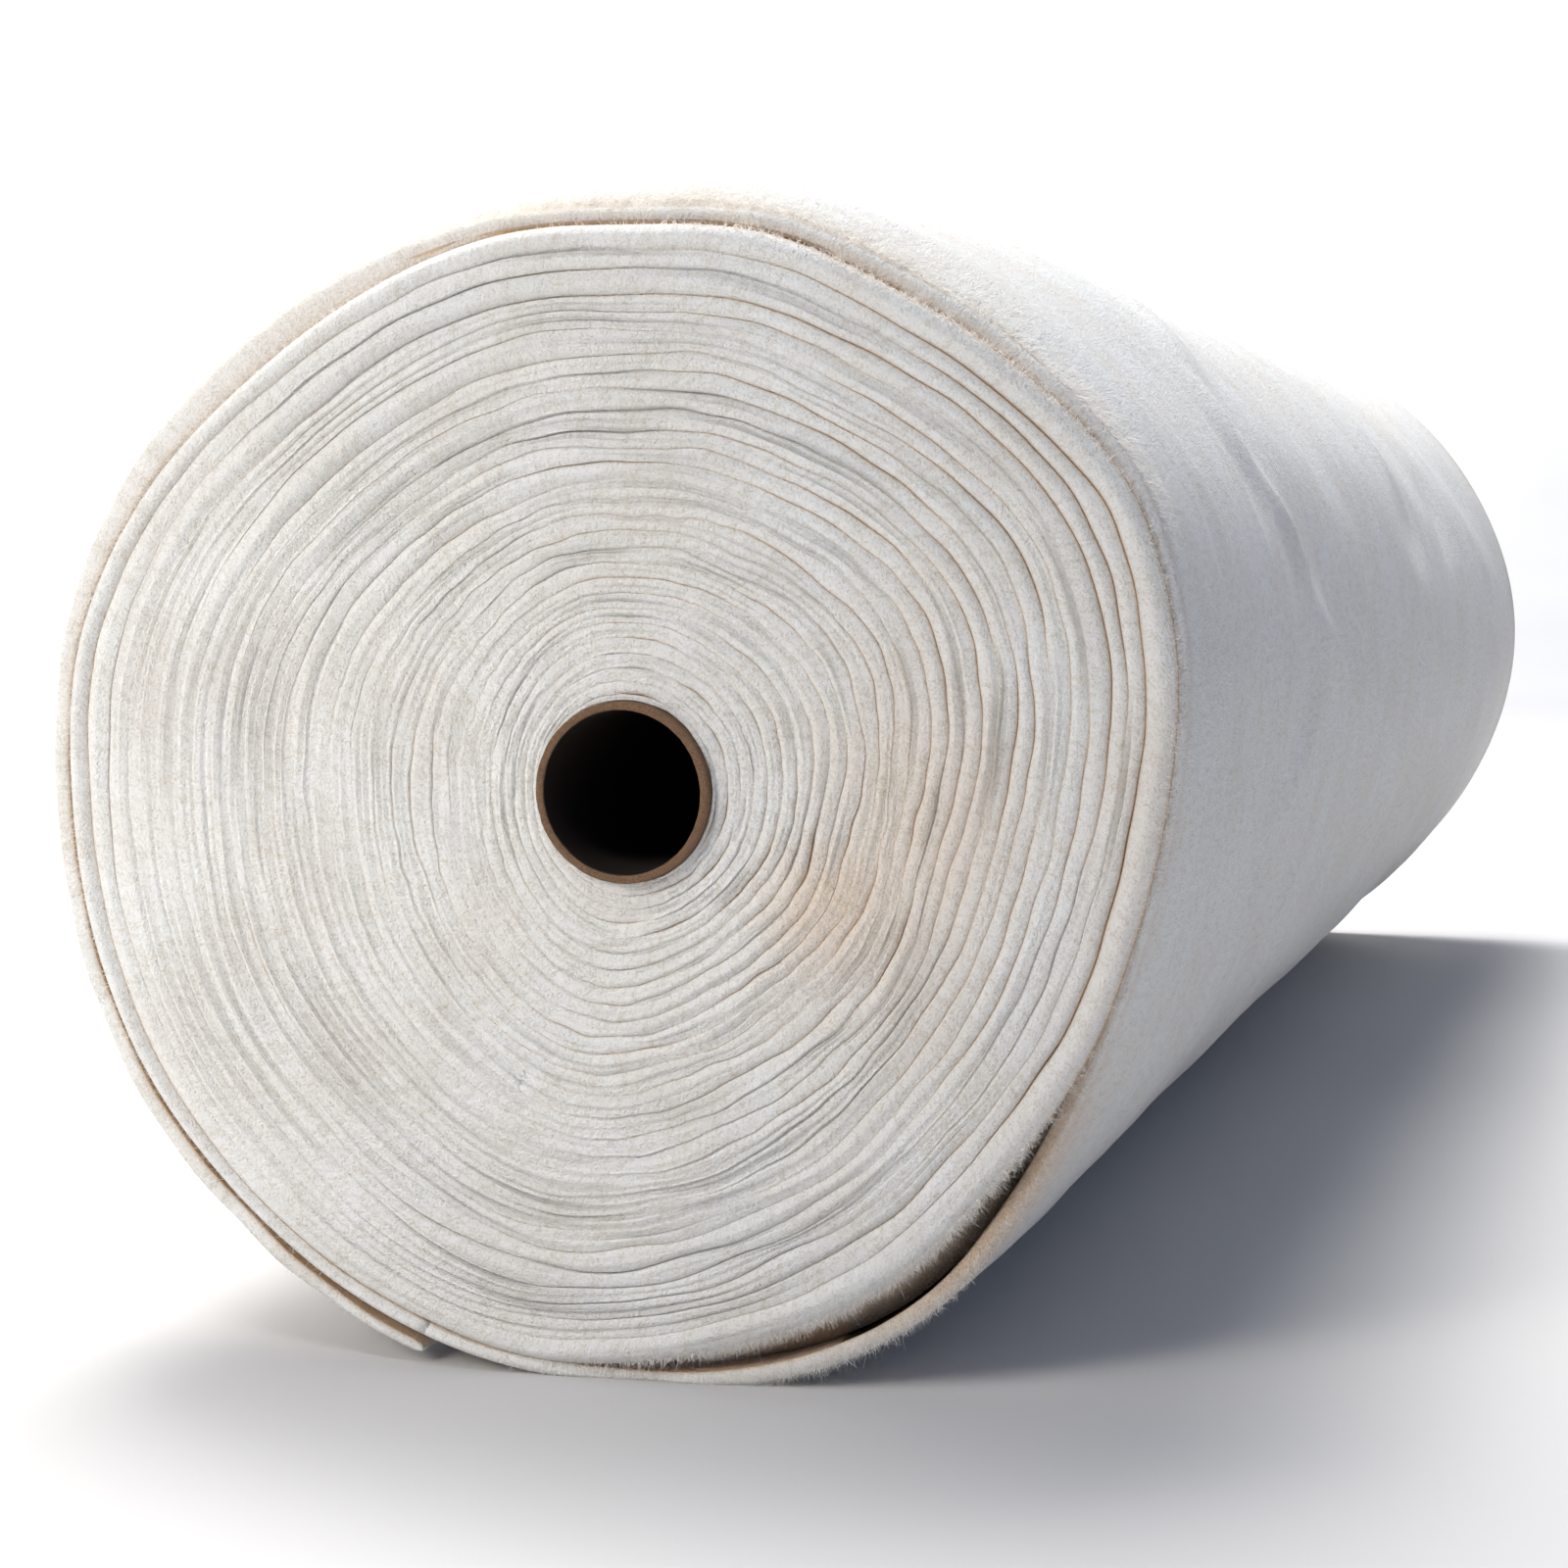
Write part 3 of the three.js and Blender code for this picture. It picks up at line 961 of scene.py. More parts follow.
    def near_fold(self, turns: Array) -> tuple[Array, Array, Array]:
        """Points of the near fold of each section.

        Across the fold a point lies u from -1 to 1. Its depth below the fold's crest is the gap's
        depth times |u| to the crest's power, and where the gap is sharp some of a circle's
        1 - sqrt(1 - u squared) is added. Near the core a shallow bell exp(-(u / width) squared)
        parts the fold's two layers.

        Args:
            turns: Turns wound at each section.

        Returns:
            Distances from the axis, distances from the near plane, and amounts of painted tan shade.
        """
        t = turns[:, None]
        u = np.array(self.near_across)[None, :]
        size = np.abs(u)
        low = self.boundary(turns, End.NEAR)[:, None] + self.crevice_mm
        high = self.boundary(turns + 1, End.NEAR)[:, None] - self.crevice_mm
        high = np.maximum(high, low + self.least_mm)
        flare = self.flare_at(self.shape.angle(t)) * (t >= self.shape.inner_turns - 1)
        deep_low, tan_low = self.sharpness(t)
        deep_high, tan_high = self.sharpness(t + 1)
        deep = np.where(u < 0, deep_low, deep_high)
        tan = np.where(u < 0, tan_low, tan_high)
        forward, rounder = self.ridge_lift(t)
        thick = high - low
        crisp = self.crisp * np.clip(deep - 0.4, 0, 1.1) * (1 - np.sqrt(1 - size**2))
        curve = size**self.crest_power + crisp
        depth = np.minimum(self.groove_mm * (np.maximum(deep, self.least(t)) + rounder), 0.5 * thick)
        reach = low + (thick + flare) * (u + 1) / 2
        smooth = self.recess(t + (u + 1) / 2, End.NEAR)
        own = self.recess(t + 0.5, End.NEAR)
        stepped = np.clip(deep, 0, 1)
        deg = self.shape.angle(t)
        parted = self.split_mm * (1 - smoothstep(t, 7, 19))
        parted = parted * (1 + 0.6 * self.firmness.at(deg + 90, reach))
        parting = np.exp(-((u / self.parting_width) ** 2))
        along = smooth + (own - smooth) * stepped - forward + depth * curve + parted * parting
        dimples = self.dimple_mm * self.pucker.at(deg, reach)
        along = along + dimples * self.crumple(deg, t / self.shape.inner_turns)
        # Painted shade: tan towards the gaps at the fold's edges, and a little along the parting of its
        # two layers
        tint = tan * np.clip((size - 0.78) / 0.22, 0, 1) ** 2 + 0.35 * parted * parting
        return reach, np.maximum(along, -3.0), tint

    def sections(self, turns: Array) -> Swept:
        """Points of the closed section at each place along the winding.

        After the near fold come two points on the outer flank, the second one where the pocket has
        closed, then the far edge, which has two rounded lips, one for each cut layer, with a notch
        between them.

        Args:
            turns: Turns wound at each section.

        Returns:
            The swept piece, with the painted tan shade of its gaps, its warmth and its lengths of cloth
            in metres.
        """
        shape = self.shape
        t = turns[:, None]
        deg = shape.angle(t)
        near_reach, near_along, tint = self.near_fold(turns)
        high = self.boundary(turns + 1, End.NEAR)[:, None] - self.crevice_mm
        high = np.maximum(high, near_reach[:, :1] + self.least_mm)
        throat_along = near_along[:, -1:] + self.throat_mm
        share = np.clip(t / (shape.inner_turns - 1), 0, 1) ** shape.tightness
        slack = shape.pocket(deg, End.NEAR) + shape.fat(deg, End.NEAR)
        closed = shape.boundary(t + 1, End.NEAR) + slack * share - 0.3
        closed_along = self.pocket_deep + 0 * t

        far_low = self.boundary(turns, End.FAR)[:, None] + self.far_crevice_mm
        far_high = self.boundary(turns + 1, End.FAR)[:, None] - self.far_crevice_mm
        g = np.linspace(1, 0, self.far_columns)[None, :]
        lips = np.abs(np.sin(2 * math.pi * g)) ** 0.5
        far_reach = far_low + (far_high - far_low) * g
        far_along = shape.length - self.recess(t, End.FAR) - self.far_notch_mm * (1 - lips)

        reach = np.concatenate([near_reach, high, closed, far_reach], 1)
        along = np.concatenate([near_along, throat_along, closed_along, far_along], 1)
        flank = self.shade_tint + 0 * high
        # The gap attribute paints tan shade in the gaps, over the flanks and in the far edge's notch
        gap = np.concatenate([tint, flank, flank, self.shade_tint * (1 - lips) + 0 * far_reach], 1)
        run = (2 * math.pi * (shape.bore * t + self.edge_step_mm / 2 * t * t)) * MM
        low = near_reach[:, :1]
        # Lengths across the section: the fold, the two points of the flank, and the far edge
        lengths = [near_reach - low, high - low + 7, high - low + 40, far_high - far_reach + 60]
        width = np.concatenate(lengths, 1) * MM
        uv = np.stack([run + 0.45 * width, width], -1)
        return Swept(shape.place(deg, reach, along), gap, self.warmth(deg + 0 * reach, reach), uv)

    def warmth(self, deg: Array, reach: Array) -> Array:
        """Warm tint low on the right of the core: a stain on the creased spot, a broader warm patch
        beside it and a band by the rim.

        Args:
            deg: Angles round the roll.
            reach: Distances from the core's axis.

        Returns:
            Amounts from 0 to 1.
        """
        spot = hump(turn_between(331, deg), 24) * hump(reach - 104, 40)
        side = hump(turn_between(352, deg), 56) * hump(reach - 140, 76)
        rim = hump(turn_between(348, deg), 50) * hump(reach - 250, 50)
        return 0.42 * spot + 0.35 * side + 0.2 * rim

    def build(self, name: str, first: float, last: float, finish: bpy.types.Material) -> bpy.types.Object:
        """Builds the turns between two turn numbers as one closed piece.

        Args:
            name: Name of the piece.
            first: Turns wound at its start.
            last: Turns wound at its end.
            finish: Its material.

        Returns:
            The piece.
        """
        count = int(self.samples * (last - first)) + 1
        return self.sections(np.linspace(first, last, count)).build(name, finish)


@dataclass
class OuterWrap:
    """The outermost wrap: one double layer of cloth with soft creases, a rounded rim and a cut tail."""

    shape: RollShape
    turns: Turns
    around: int = 400
    rows: int = 168
    inside_rows: int = 14
    # Roundness of the near edge, on its inner and outer side
    inner_edge_mm: float = 2.2
    edge_mm: float = 5.0
    # Distance of the far edge behind the roll's far face, and depth of the notch between its layers
    far_back_mm: float = 6.0
    far_notch_mm: float = 4.0
    # Heights of the swells, of the streaks round the roll and of the slack, and depth of the nibbles
    swell_mm: float = 1.1
    streak_mm: float = 0.28
    slack_mm: float = 0.45
    nibble_mm: float = 0.8
    # Outer radii by which lengths round the roll are measured, for creases, tail and cloth
    crease_radius: float = 280.0
    tail_radius: float = 290.0
    cloth_radius: float = 285.0
    # The free end of the cloth: its thinning, how far round that reaches, and its round tip
    tail_thin: float = 0.3
    tail_reach: float = 110.0
    tail_round: float = 7.0
    # Recess of the near edge behind the foremost turn, every 30 degrees
    edge_recess: tuple[float, ...] = (8, 8, 13, 16, 13, 6, 3, 3, 4, 7, 13, 14)
    # Creases of the outside: angle and place along of both ends, height, width
    creases: tuple[tuple[float, float, float, float, float, float], ...] = (
        (3, 480, 16, 400, 4.6, 11),
        (15, 405, 33, 318, 5.0, 11),
        (31, 316, 44, 338, 4.0, 13),
        (42, 330, 64, 480, 3.6, 16),
        (24, 286, 38, 292, -2.6, 13),
        (-26, 272, -10, 276, 3.2, 10),
        (-12, 274, 5, 415, 3.6, 10),
        (-30, 350, -18, 470, 3.8, 13),
        (-4, 545, 10, 535, 4.6, 13),
        (-3, 622, 8, 618, 4.2, 13),
        (-26, 620, -4, 640, -3.2, 11),
        (-16, 662, 14, 676, 3.2, 11),
        (-28, 770, -10, 806, 3.6, 16),
        (-14, 830, 14, 915, 3.0, 16),
        (18, 862, 26, 975, -3.6, 19),
        (24, 930, 52, 930, 3.6, 19),
        (12, 1085, 34, 1190, -3.4, 19),
        (-20, 1000, -22, 1120, 3.6, 15),
        (4, 1305, 12, 1345, -3.6, 13),
        (-12, 1470, 14, 1400, 3.4, 17),
        (52, 560, 84, 700, -2.4, 20),
        (70, 760, 98, 900, 2.4, 24),
        (110, 300, 140, 420, 2.4, 22),
        (150, 640, 184, 560, -2.6, 22),
        (170, 960, 206, 1060, 2.8, 24),
        (196, 300, 226, 260, 2.4, 20),
    )
    swell: Ripple = field(default_factory=lambda: Ripple(21, 18, (2, 7), (260.0, 900.0)))
    streak: Ripple = field(default_factory=lambda: Ripple(22, 34, (0, 5), (14.0, 60.0)))
    slack: Ripple = field(default_factory=lambda: Ripple(23, 26, (4, 16), (60.0, 260.0)))
    nibble: Ripple = field(default_factory=lambda: Ripple(24, 24, (6, 44), (500.0, 900.0)))

    def relief(self, deg: Array, along: Array) -> Array:
        """Height of the outside over the outline: soft swells, streaks round the roll and creases.

        A crease is a ridge with a bell-shaped section exp(-d squared / 2 w squared) about a line on
        the unrolled cloth, and it fades towards both ends.

        Args:
            deg: Angles round the roll.
            along: Distances from the near face.

        Returns:
            Heights in millimetres.
        """
        high = self.swell_mm * self.swell.at(deg, along) + self.streak_mm * self.streak.at(deg, along)
        high = high + self.slack_mm * self.slack.at(deg, along)
        arc = 2 * math.pi * self.crease_radius / 360
        for deg_a, along_a, deg_b, along_b, height, width in self.creases:
            mid = (deg_a + deg_b) / 2
            x = turn_between(mid, deg) * arc
            y = along - (along_a + along_b) / 2
            half_x = (deg_b - deg_a) * arc / 2
            half_y = (along_b - along_a) / 2
            half = math.hypot(half_x, half_y)
            run = (x * half_x + y * half_y) / half
            off = (x * half_y - y * half_x) / half
            bowed = off - 0.10 * (run * run / half - half / 2)
            ridge = np.exp(-(bowed**2) / (2 * width**2)) * hump(run, 1.35 * half)
            high = high + height * ridge
        end = self.shape.length
        return high * smoothstep(along, 0, 60) * (1 - 0.7 * smoothstep(along, end - 90, end))

    def near_edge(self, turns: Array) -> Array:
        """Recess of the near edge, with uneven nibbles, level with the turn before at its start.

        Args:
            turns: Turns wound.

        Returns:
            Depths behind the near plane.
        """
        past = turns - self.shape.inner_turns
        deg = self.shape.angle(turns)
        table = round_curve(np.array(self.edge_recess, float), deg)
        nibbled = table + self.nibble_mm * self.nibble.at(deg, 0 * deg)
        return nibbled * smoothstep(past, -0.01, 0.06)

    def thickness(self, turns: Array) -> tuple[Array, Array]:
        """Thickness of the wrap, and the share of it that is left where its free end rounds off.

        The wrap thins over its last stretch, which lifts its inside off the turn beneath, and its
        tip is a half round: sqrt(1 - (1 - distance / radius) squared).

        Args:
            turns: Turns wound.

        Returns:
            Thicknesses in millimetres, and shares from 0 to 1.
        """
        shape = self.shape
        left = (shape.inner_turns + 1 - turns) * 2 * math.pi * self.tail_radius
        thick = (shape.layer - 0.5) * (1 - self.tail_thin * (1 - smoothstep(left, 0, self.tail_reach)))
        close = np.clip(left / self.tail_round, 0, 1)
        return thick, np.sqrt(1 - (1 - close) ** 2)

    def rim(self, turns: Array) -> tuple[Array, Array, Array]:
        """Points of the rounded near edge of each section, from the inside to the outside.

        At its start the edge has the form of the last fold before it, and takes its own from there.

        Args:
            turns: Turns wound at each section, as a column.

        Returns:
            Distances from the axis, distances from the near plane, and amounts of painted gap shade.
        """
        shape = self.shape
        deg = shape.angle(turns)
        u = np.array(self.turns.near_across)[None, :]
        across = (u + 1) / 2
        forward = (1 - u * u) ** 0.4
        thick, left = self.thickness(turns)
        top = shape.outline(deg, 0.0) - shape.tail_dip(turns - shape.inner_turns) - thick * (1 - left) / 2
        rounding = np.where(across < 0.5, self.inner_edge_mm, self.edge_mm)
        along = self.near_edge(turns) + rounding * (1 - forward)
        # Painted shade: tan on the rim's rounding, most on its inner side, and on the inner half of the
        # rim low on the right, where the last fold overhangs it
        shaded = 0.6 * hump(turn_between(314, deg), 34) * (1 - smoothstep(across, 0.55, 0.9))
        gap = np.maximum(np.clip(1 - forward, 0, 1) * np.where(across < 0.5, 1.0, 0.3), shaded)
        reach = top - (thick + shape.fat(deg, End.NEAR)) * left * (1 - across)
        own = smoothstep(turns - shape.inner_turns, 0.0, 0.06)
        fold_reach, fold_along, fold_gap = self.turns.near_fold(turns[:, 0])
        return (
            fold_reach + (reach - fold_reach) * own,
            fold_along + (along - fold_along) * own,
            fold_gap + (gap - fold_gap) * own,
        )

    def outside(self, turns: Array, along: Array) -> Array:
        """Outside of the wrap: the outline, less the step and rounding by the tail, plus the relief.

        Args:
            turns: Turns wound.
            along: Distances from the near face.

        Returns:
            Distances from the core's axis.
        """
        shape = self.shape
        deg = shape.angle(turns)
        thick, left = self.thickness(turns)
        dip = shape.tail_dip(turns - shape.inner_turns) + thick * (1 - left) / 2
        return shape.outline(deg, along) - dip + self.relief(deg + 0 * along, along)

    def build(self, name: str, finish: bpy.types.Material) -> bpy.types.Object:
        """Builds the wrap as one closed sheet.

        Its section runs over the near edge, along the outside, over the far edge and back along
        the inside, and it is carried once round the roll to the round tip of its free end.

        Args:
            name: Name of the piece.
            finish: Its material.

        Returns:
            The piece.
        """
        shape = self.shape
        first = shape.inner_turns
        tip = self.tail_round / (2 * math.pi * self.tail_radius)
        closing = 1 - np.sin(np.radians(np.linspace(6, 82, 7)))
        round_once = np.linspace(first - 0.0003, first + 1 - 1.1 * tip, self.around)
        turns = np.r_[round_once, first + 1 - tip * closing][:, None]
        deg = shape.angle(turns)
        near_reach, near_along, near_gap = self.rim(turns)
        # Rows along the outside lie closer together towards the near end
        k = np.arange(1, self.rows + 1)[None, :] / (self.rows + 1)
        low_along = near_along[:, -1:] + 2
        out_along = low_along + (shape.length - 9 - low_along) * (k + 0.35 * (k * k - k))
        out_reach = self.outside(turns, out_along)
        thick, left = self.thickness(turns)
        middle = shape.outline(deg, shape.length) - shape.tail_dip(turns - first) - thick / 2
        h = np.linspace(0, math.pi, 9)[None, :]
        lips = np.abs(np.sin(h * 2)) ** 0.5
        far_reach = middle + thick * left * np.cos(h) / 2
        far_along = shape.length - self.far_back_mm - self.far_notch_mm * (1 - lips) + 0 * deg
        back = np.linspace(shape.length - 14, 14, self.inside_rows)[None, :] + 0 * deg
        in_reach = shape.outline(deg, back) - shape.tail_dip(turns - first) - thick * (1 + left) / 2
        reach = np.concatenate([near_reach, out_reach, far_reach, in_reach], 1)
        along = np.concatenate([near_along, out_along, far_along, back], 1)
        # Painted shade: tan in the notch of the far edge and over the inside, fading where the free end
        # rounds off
        far_gap = 0.8 * (1 - lips) + 0 * far_reach
        gap = np.concatenate([near_gap, 0 * out_reach, far_gap, 0 * in_reach + 0.75], 1) * left
        # Warm light bounces under the rim at the lower right, and a little at the upper left
        warm = 0.75 * hump(turn_between(312, deg), 26) * (1 - smoothstep(along, 10, 70))
        warm = warm + 0.1 * hump(turn_between(122, deg), 66) * (1 - smoothstep(along, 14, 60))
        run = (turns - first) * 2 * math.pi * self.cloth_radius * MM + 0 * reach
        uv = np.stack([run, along * MM], -1)
        return Swept(shape.place(deg, reach, along), gap, warm, uv).build(name, finish)


@dataclass(frozen=True)
class FibreFinish:
    """Single carded cotton fibres: white, matt and thin enough to let some light through."""

    colour: str = "#fbf8f3"
    through: float = 0.4

    def build(self) -> bpy.types.Material:
        """Builds the material.

        Returns:
            The material.
        """
        material, tree = new_material("loose_cotton_fibre")
        colour = linear(self.colour)
        matt = add_node(tree, "ShaderNodeBsdfDiffuse", {"Color": colour, "Roughness": 0.6}).outputs[0]
        thin = add_node(tree, "ShaderNodeBsdfTranslucent", {"Color": colour}).outputs[0]
        both = add_node(tree, "ShaderNodeMixShader", {0: self.through, 1: matt, 2: thin}).outputs[0]
        add_node(tree, "ShaderNodeOutputMaterial", {"Surface": both})
        return material


@dataclass(frozen=True)
class FibrePatch:
    """Where a patch of loose fibres stands, and which way its fibres lean.

    The angles are those of its two ends. The share is that of all the fibres. The leans are outwards
    from the axis, round the roll and along it towards the far end.
    """

    start_deg: float
    end_deg: float
    share: float
    length_mm: float
    outwards: float
    round_lean: float
    along_lean: float


@dataclass
class LooseFibres:
    """Loose ends of cotton that stand off the edges of the cloth, each a thin curling ribbon."""

    shape: RollShape
    turns: Turns
    wrap: OuterWrap
    seed: int = 41
    width_mm: float = 0.3
    steps: int = 3
    count: int = 30000
    # The nap of the outside close behind the near end
    nap: tuple[FibrePatch, ...] = (
        FibrePatch(34, 118, 0.26, 6.5, 0.22, -0.4, 1.0),
        FibrePatch(108, 152, 0.12, 5.5, 0.3, -0.3, 0.4),
        FibrePatch(22, 52, 0.08, 5.5, 0.22, -0.4, 1.0),
    )
    nap_reach_mm: float = 24.0
    # Unevenness of the way each fibre leans and bends
    stray: float = 0.38
    curl: float = 0.45
    # The near edge of the wrap
    edge: tuple[FibrePatch, ...] = (
        FibrePatch(256, 324, 0.18, 3.4, 0.7, 0.0, -0.6),
        FibrePatch(146, 246, 0.07, 2.6, 0.4, 0.0, -0.8),
    )
    # The outer side of the last fold under the wrap
    fold: tuple[FibrePatch, ...] = (
        FibrePatch(258, 334, 0.13, 3.8, 1.0, 0.1, -0.45),
        FibrePatch(-26, 100, 0.1, 3.0, 0.6, 0.0, -0.7),
        FibrePatch(100, 240, 0.06, 2.6, 0.5, 0.0, -0.8),
    )

    def roots(self, patch: FibrePatch, rng: np.random.Generator) -> tuple[Array, Array]:
        """Angles at random inside a patch, thinning towards both ends, and turns wound of the wrap.

        Args:
            patch: The patch.
            rng: The seeded source of random numbers.

        Returns:
            Angles in degrees, and turns wound where the wrap passes each of them.
        """
        number = int(self.count * patch.share)
        middle = (patch.start_deg + patch.end_deg) / 2
        half = (patch.end_deg - patch.start_deg) / 2
        # Two even spreads added make a level middle and sloping ends
        deg = middle + half * (0.68 * rng.uniform(-1, 1, number) + 0.32 * rng.uniform(-1, 1, number))
        first = self.shape.inner_turns
        turns = first + ((deg - self.shape.tail_deg) / 360) % 1
        return deg, np.clip(turns, first + 0.001, first + 0.994)

    def strands(
        self, deg: Array, reach: Array, along: Array, patch: FibrePatch, rng: np.random.Generator
    ) -> Array:
        """Ribbons from their roots: root + length * (s * direction + s squared * bend), narrowing.

        Args:
            deg: Angles of the roots.
            reach: Distances of the roots from the axis.
            along: Distances of the roots from the near plane.
            patch: The patch, for length and lean.
            rng: The seeded source of random numbers.

        Returns:
            Places in metres, by fibre, step, side and axis.
        """
        number = len(deg)
        angle = np.radians(deg)
        zero = np.zeros(number)
        out = np.stack([np.cos(angle), zero, np.sin(angle)], -1)
        side = np.stack([-np.sin(angle), zero, np.cos(angle)], -1)
        axis = np.stack([zero, zero + 1, zero], -1)
        lean = patch.outwards * out + patch.round_lean * side + patch.along_lean * axis
        lean = lean + self.stray * rng.normal(size=(number, 3))
        lean = lean / np.linalg.norm(lean, axis=1, keepdims=True)
        bend = self.curl * rng.normal(size=(number, 3))
        flat = np.cross(lean, rng.normal(size=(number, 3)))
        flat = flat / np.linalg.norm(flat, axis=1, keepdims=True)
        long = patch.length_mm * rng.uniform(0.4, 1.25, number)[:, None, None] * MM
        s = np.linspace(0, 1, self.steps + 1)[None, :, None]
        root = self.shape.place(deg, reach, along)[:, None, :]
        spine = root + long * (s * lean[:, None, :] + s * s * bend[:, None, :])
        wide = self.width_mm / 2 * (1 - 0.85 * s) * MM
        ribbons = np.stack([spine - wide * flat[:, None, :], spine + wide * flat[:, None, :]], 2)
        ribbons[..., 2] = np.maximum(ribbons[..., 2], 0.0)
        return ribbons

    def build(self, name: str, finish: bpy.types.Material) -> bpy.types.Object:
        """Builds all the fibres as one piece.

        Args:
            name: Name of the piece.
            finish: Its material.

        Returns:
            The piece.
        """
        rng = np.random.default_rng(self.seed)
        grown = []
        for patch in self.nap:
            deg, turns = self.roots(patch, rng)
            back = self.nap_reach_mm * rng.uniform(0, 1, len(deg)) ** 1.3
            along = self.wrap.near_edge(turns) + 3 + back
            reach = self.wrap.outside(turns[:, None], along[:, None])[:, 0] - 0.4
            grown.append(self.strands(deg, reach, along, patch, rng))
        for patch in self.edge + self.fold:
            deg, turns = self.roots(patch, rng)
            if patch in self.edge:
                reach, along, _ = self.wrap.rim(turns[:, None])
                column = rng.integers(3, reach.shape[1] - 1, len(deg))
            else:
                reach, along, _ = self.turns.near_fold(turns - 1)
                column = rng.integers(reach.shape[1] - 4, reach.shape[1], len(deg))
            row = np.arange(len(deg))
            grown.append(self.strands(deg, reach[row, column], along[row, column] + 0.3, patch, rng))
        points = np.concatenate(grown)
        number, levels = points.shape[:2]
        start = (np.arange(number)[:, None] * levels + np.arange(levels - 1)[None, :]) * 2
        faces = np.stack([start, start + 1, start + 3, start + 2], -1).reshape(-1, 4)
        piece = add_mesh(name, points.reshape(-1, 3), faces)
        piece.data.materials.append(finish)
        return piece


@dataclass
class PaperCore:
    """The spiral-wound paper tube, with a slightly frayed, layered rim."""

    shape: RollShape
    bore_radius: float
    proud: float
    around: int = 144
    fray_mm: float = 0.5
    fray: Ripple = field(default_factory=lambda: Ripple(31, 20, (5, 40), (3.0, 9.0)))

    def build(self, name: str, finish: bpy.types.Material) -> bpy.types.Object:
        """Builds the tube as a closed ring: a section of outside, rim, bore and rim carried round.

        Args:
            name: Name of the piece.
            finish: Its material.

        Returns:
            The piece.
        """
        shape = self.shape
        outside = shape.core_outside
        wall = outside - self.bore_radius
        rim_across = np.array([0.0, 0.06, 0.2, 0.4, 0.6, 0.8, 0.94, 1.0])
        rim_back = np.array([0.9, 0.25, 0.05, 0.0, 0.0, 0.05, 0.25, 0.9])
        near_reach = outside - wall * rim_across
        near_along = -self.proud + rim_back
        bore_along = np.linspace(8, shape.length - 8, 24)
        far_reach = near_reach[::-1]
        far_along = shape.length + self.proud - rim_back
        out_along = np.linspace(shape.length - 8, 8, 6)
        bore_reach = 0 * bore_along + self.bore_radius
        reach = np.concatenate([near_reach, bore_reach, far_reach, 0 * out_along + outside])
        along = np.concatenate([near_along, bore_along, far_along, out_along])
        deg = np.linspace(0, 360, self.around, endpoint=False)[:, None]
        rim = np.concatenate([0 * rim_back + 1, 0 * bore_along, 0 * rim_back + 1, 0 * out_along])[None, :]
        rough = self.fray_mm * self.fray.at(deg, reach[None, :]) * rim
        inward = np.where(along < shape.half_length, 1, -1)[None, :]
        points = shape.place(deg, reach[None, :] + 0 * deg, along[None, :] + np.abs(rough) * inward)
        rows, columns = points.shape[:2]
        r = np.arange(rows)[:, None] * columns
        s = (np.arange(rows)[:, None] + 1) % rows * columns
        c = np.arange(columns)[None, :]
        d = (c + 1) % columns
        faces = np.stack([r + c, s + c, s + d, r + d], -1).reshape(-1, 4)
        piece = add_mesh(name, points.reshape(-1, 3), faces)
        add_attribute(piece, "wall", (outside - reach)[None, :] + 0 * deg)
        # Marks the bore's wall, which the material paints near black as shade
        add_attribute(piece, "inside", ((reach <= self.bore_radius + 0.01) * 1.0)[None, :] + 0 * deg)
        piece.data.materials.append(finish)
        return piece


@dataclass(frozen=True)
class SoftLight:
    """A square soft light: where it hangs, the point it faces, its side, watts, colour and beam.

    Places and side are in metres, the colour is in hex, and the beam's angle is in degrees.
    """

    name: str
    place: tuple[float, float, float]
    aim: tuple[float, float, float]
    size: float
    watts: float
    colour: str
    spread: float

    def hang(self) -> None:
        """Hangs the light and turns it to the point it faces."""
        data = bpy.data.lights.new(self.name, "AREA")
        data.size = self.size
        data.energy = self.watts
        data.color = linear(self.colour)[:3]
        data.spread = math.radians(self.spread)
        lamp = bpy.data.objects.new(self.name, data)
        place = Vector(self.place)
        turn = (Vector(self.aim) - place).to_track_quat("-Z", "Y").to_matrix().to_4x4()
        lamp.matrix_world = Matrix.Translation(place) @ turn
        bpy.context.scene.collection.objects.link(lamp)


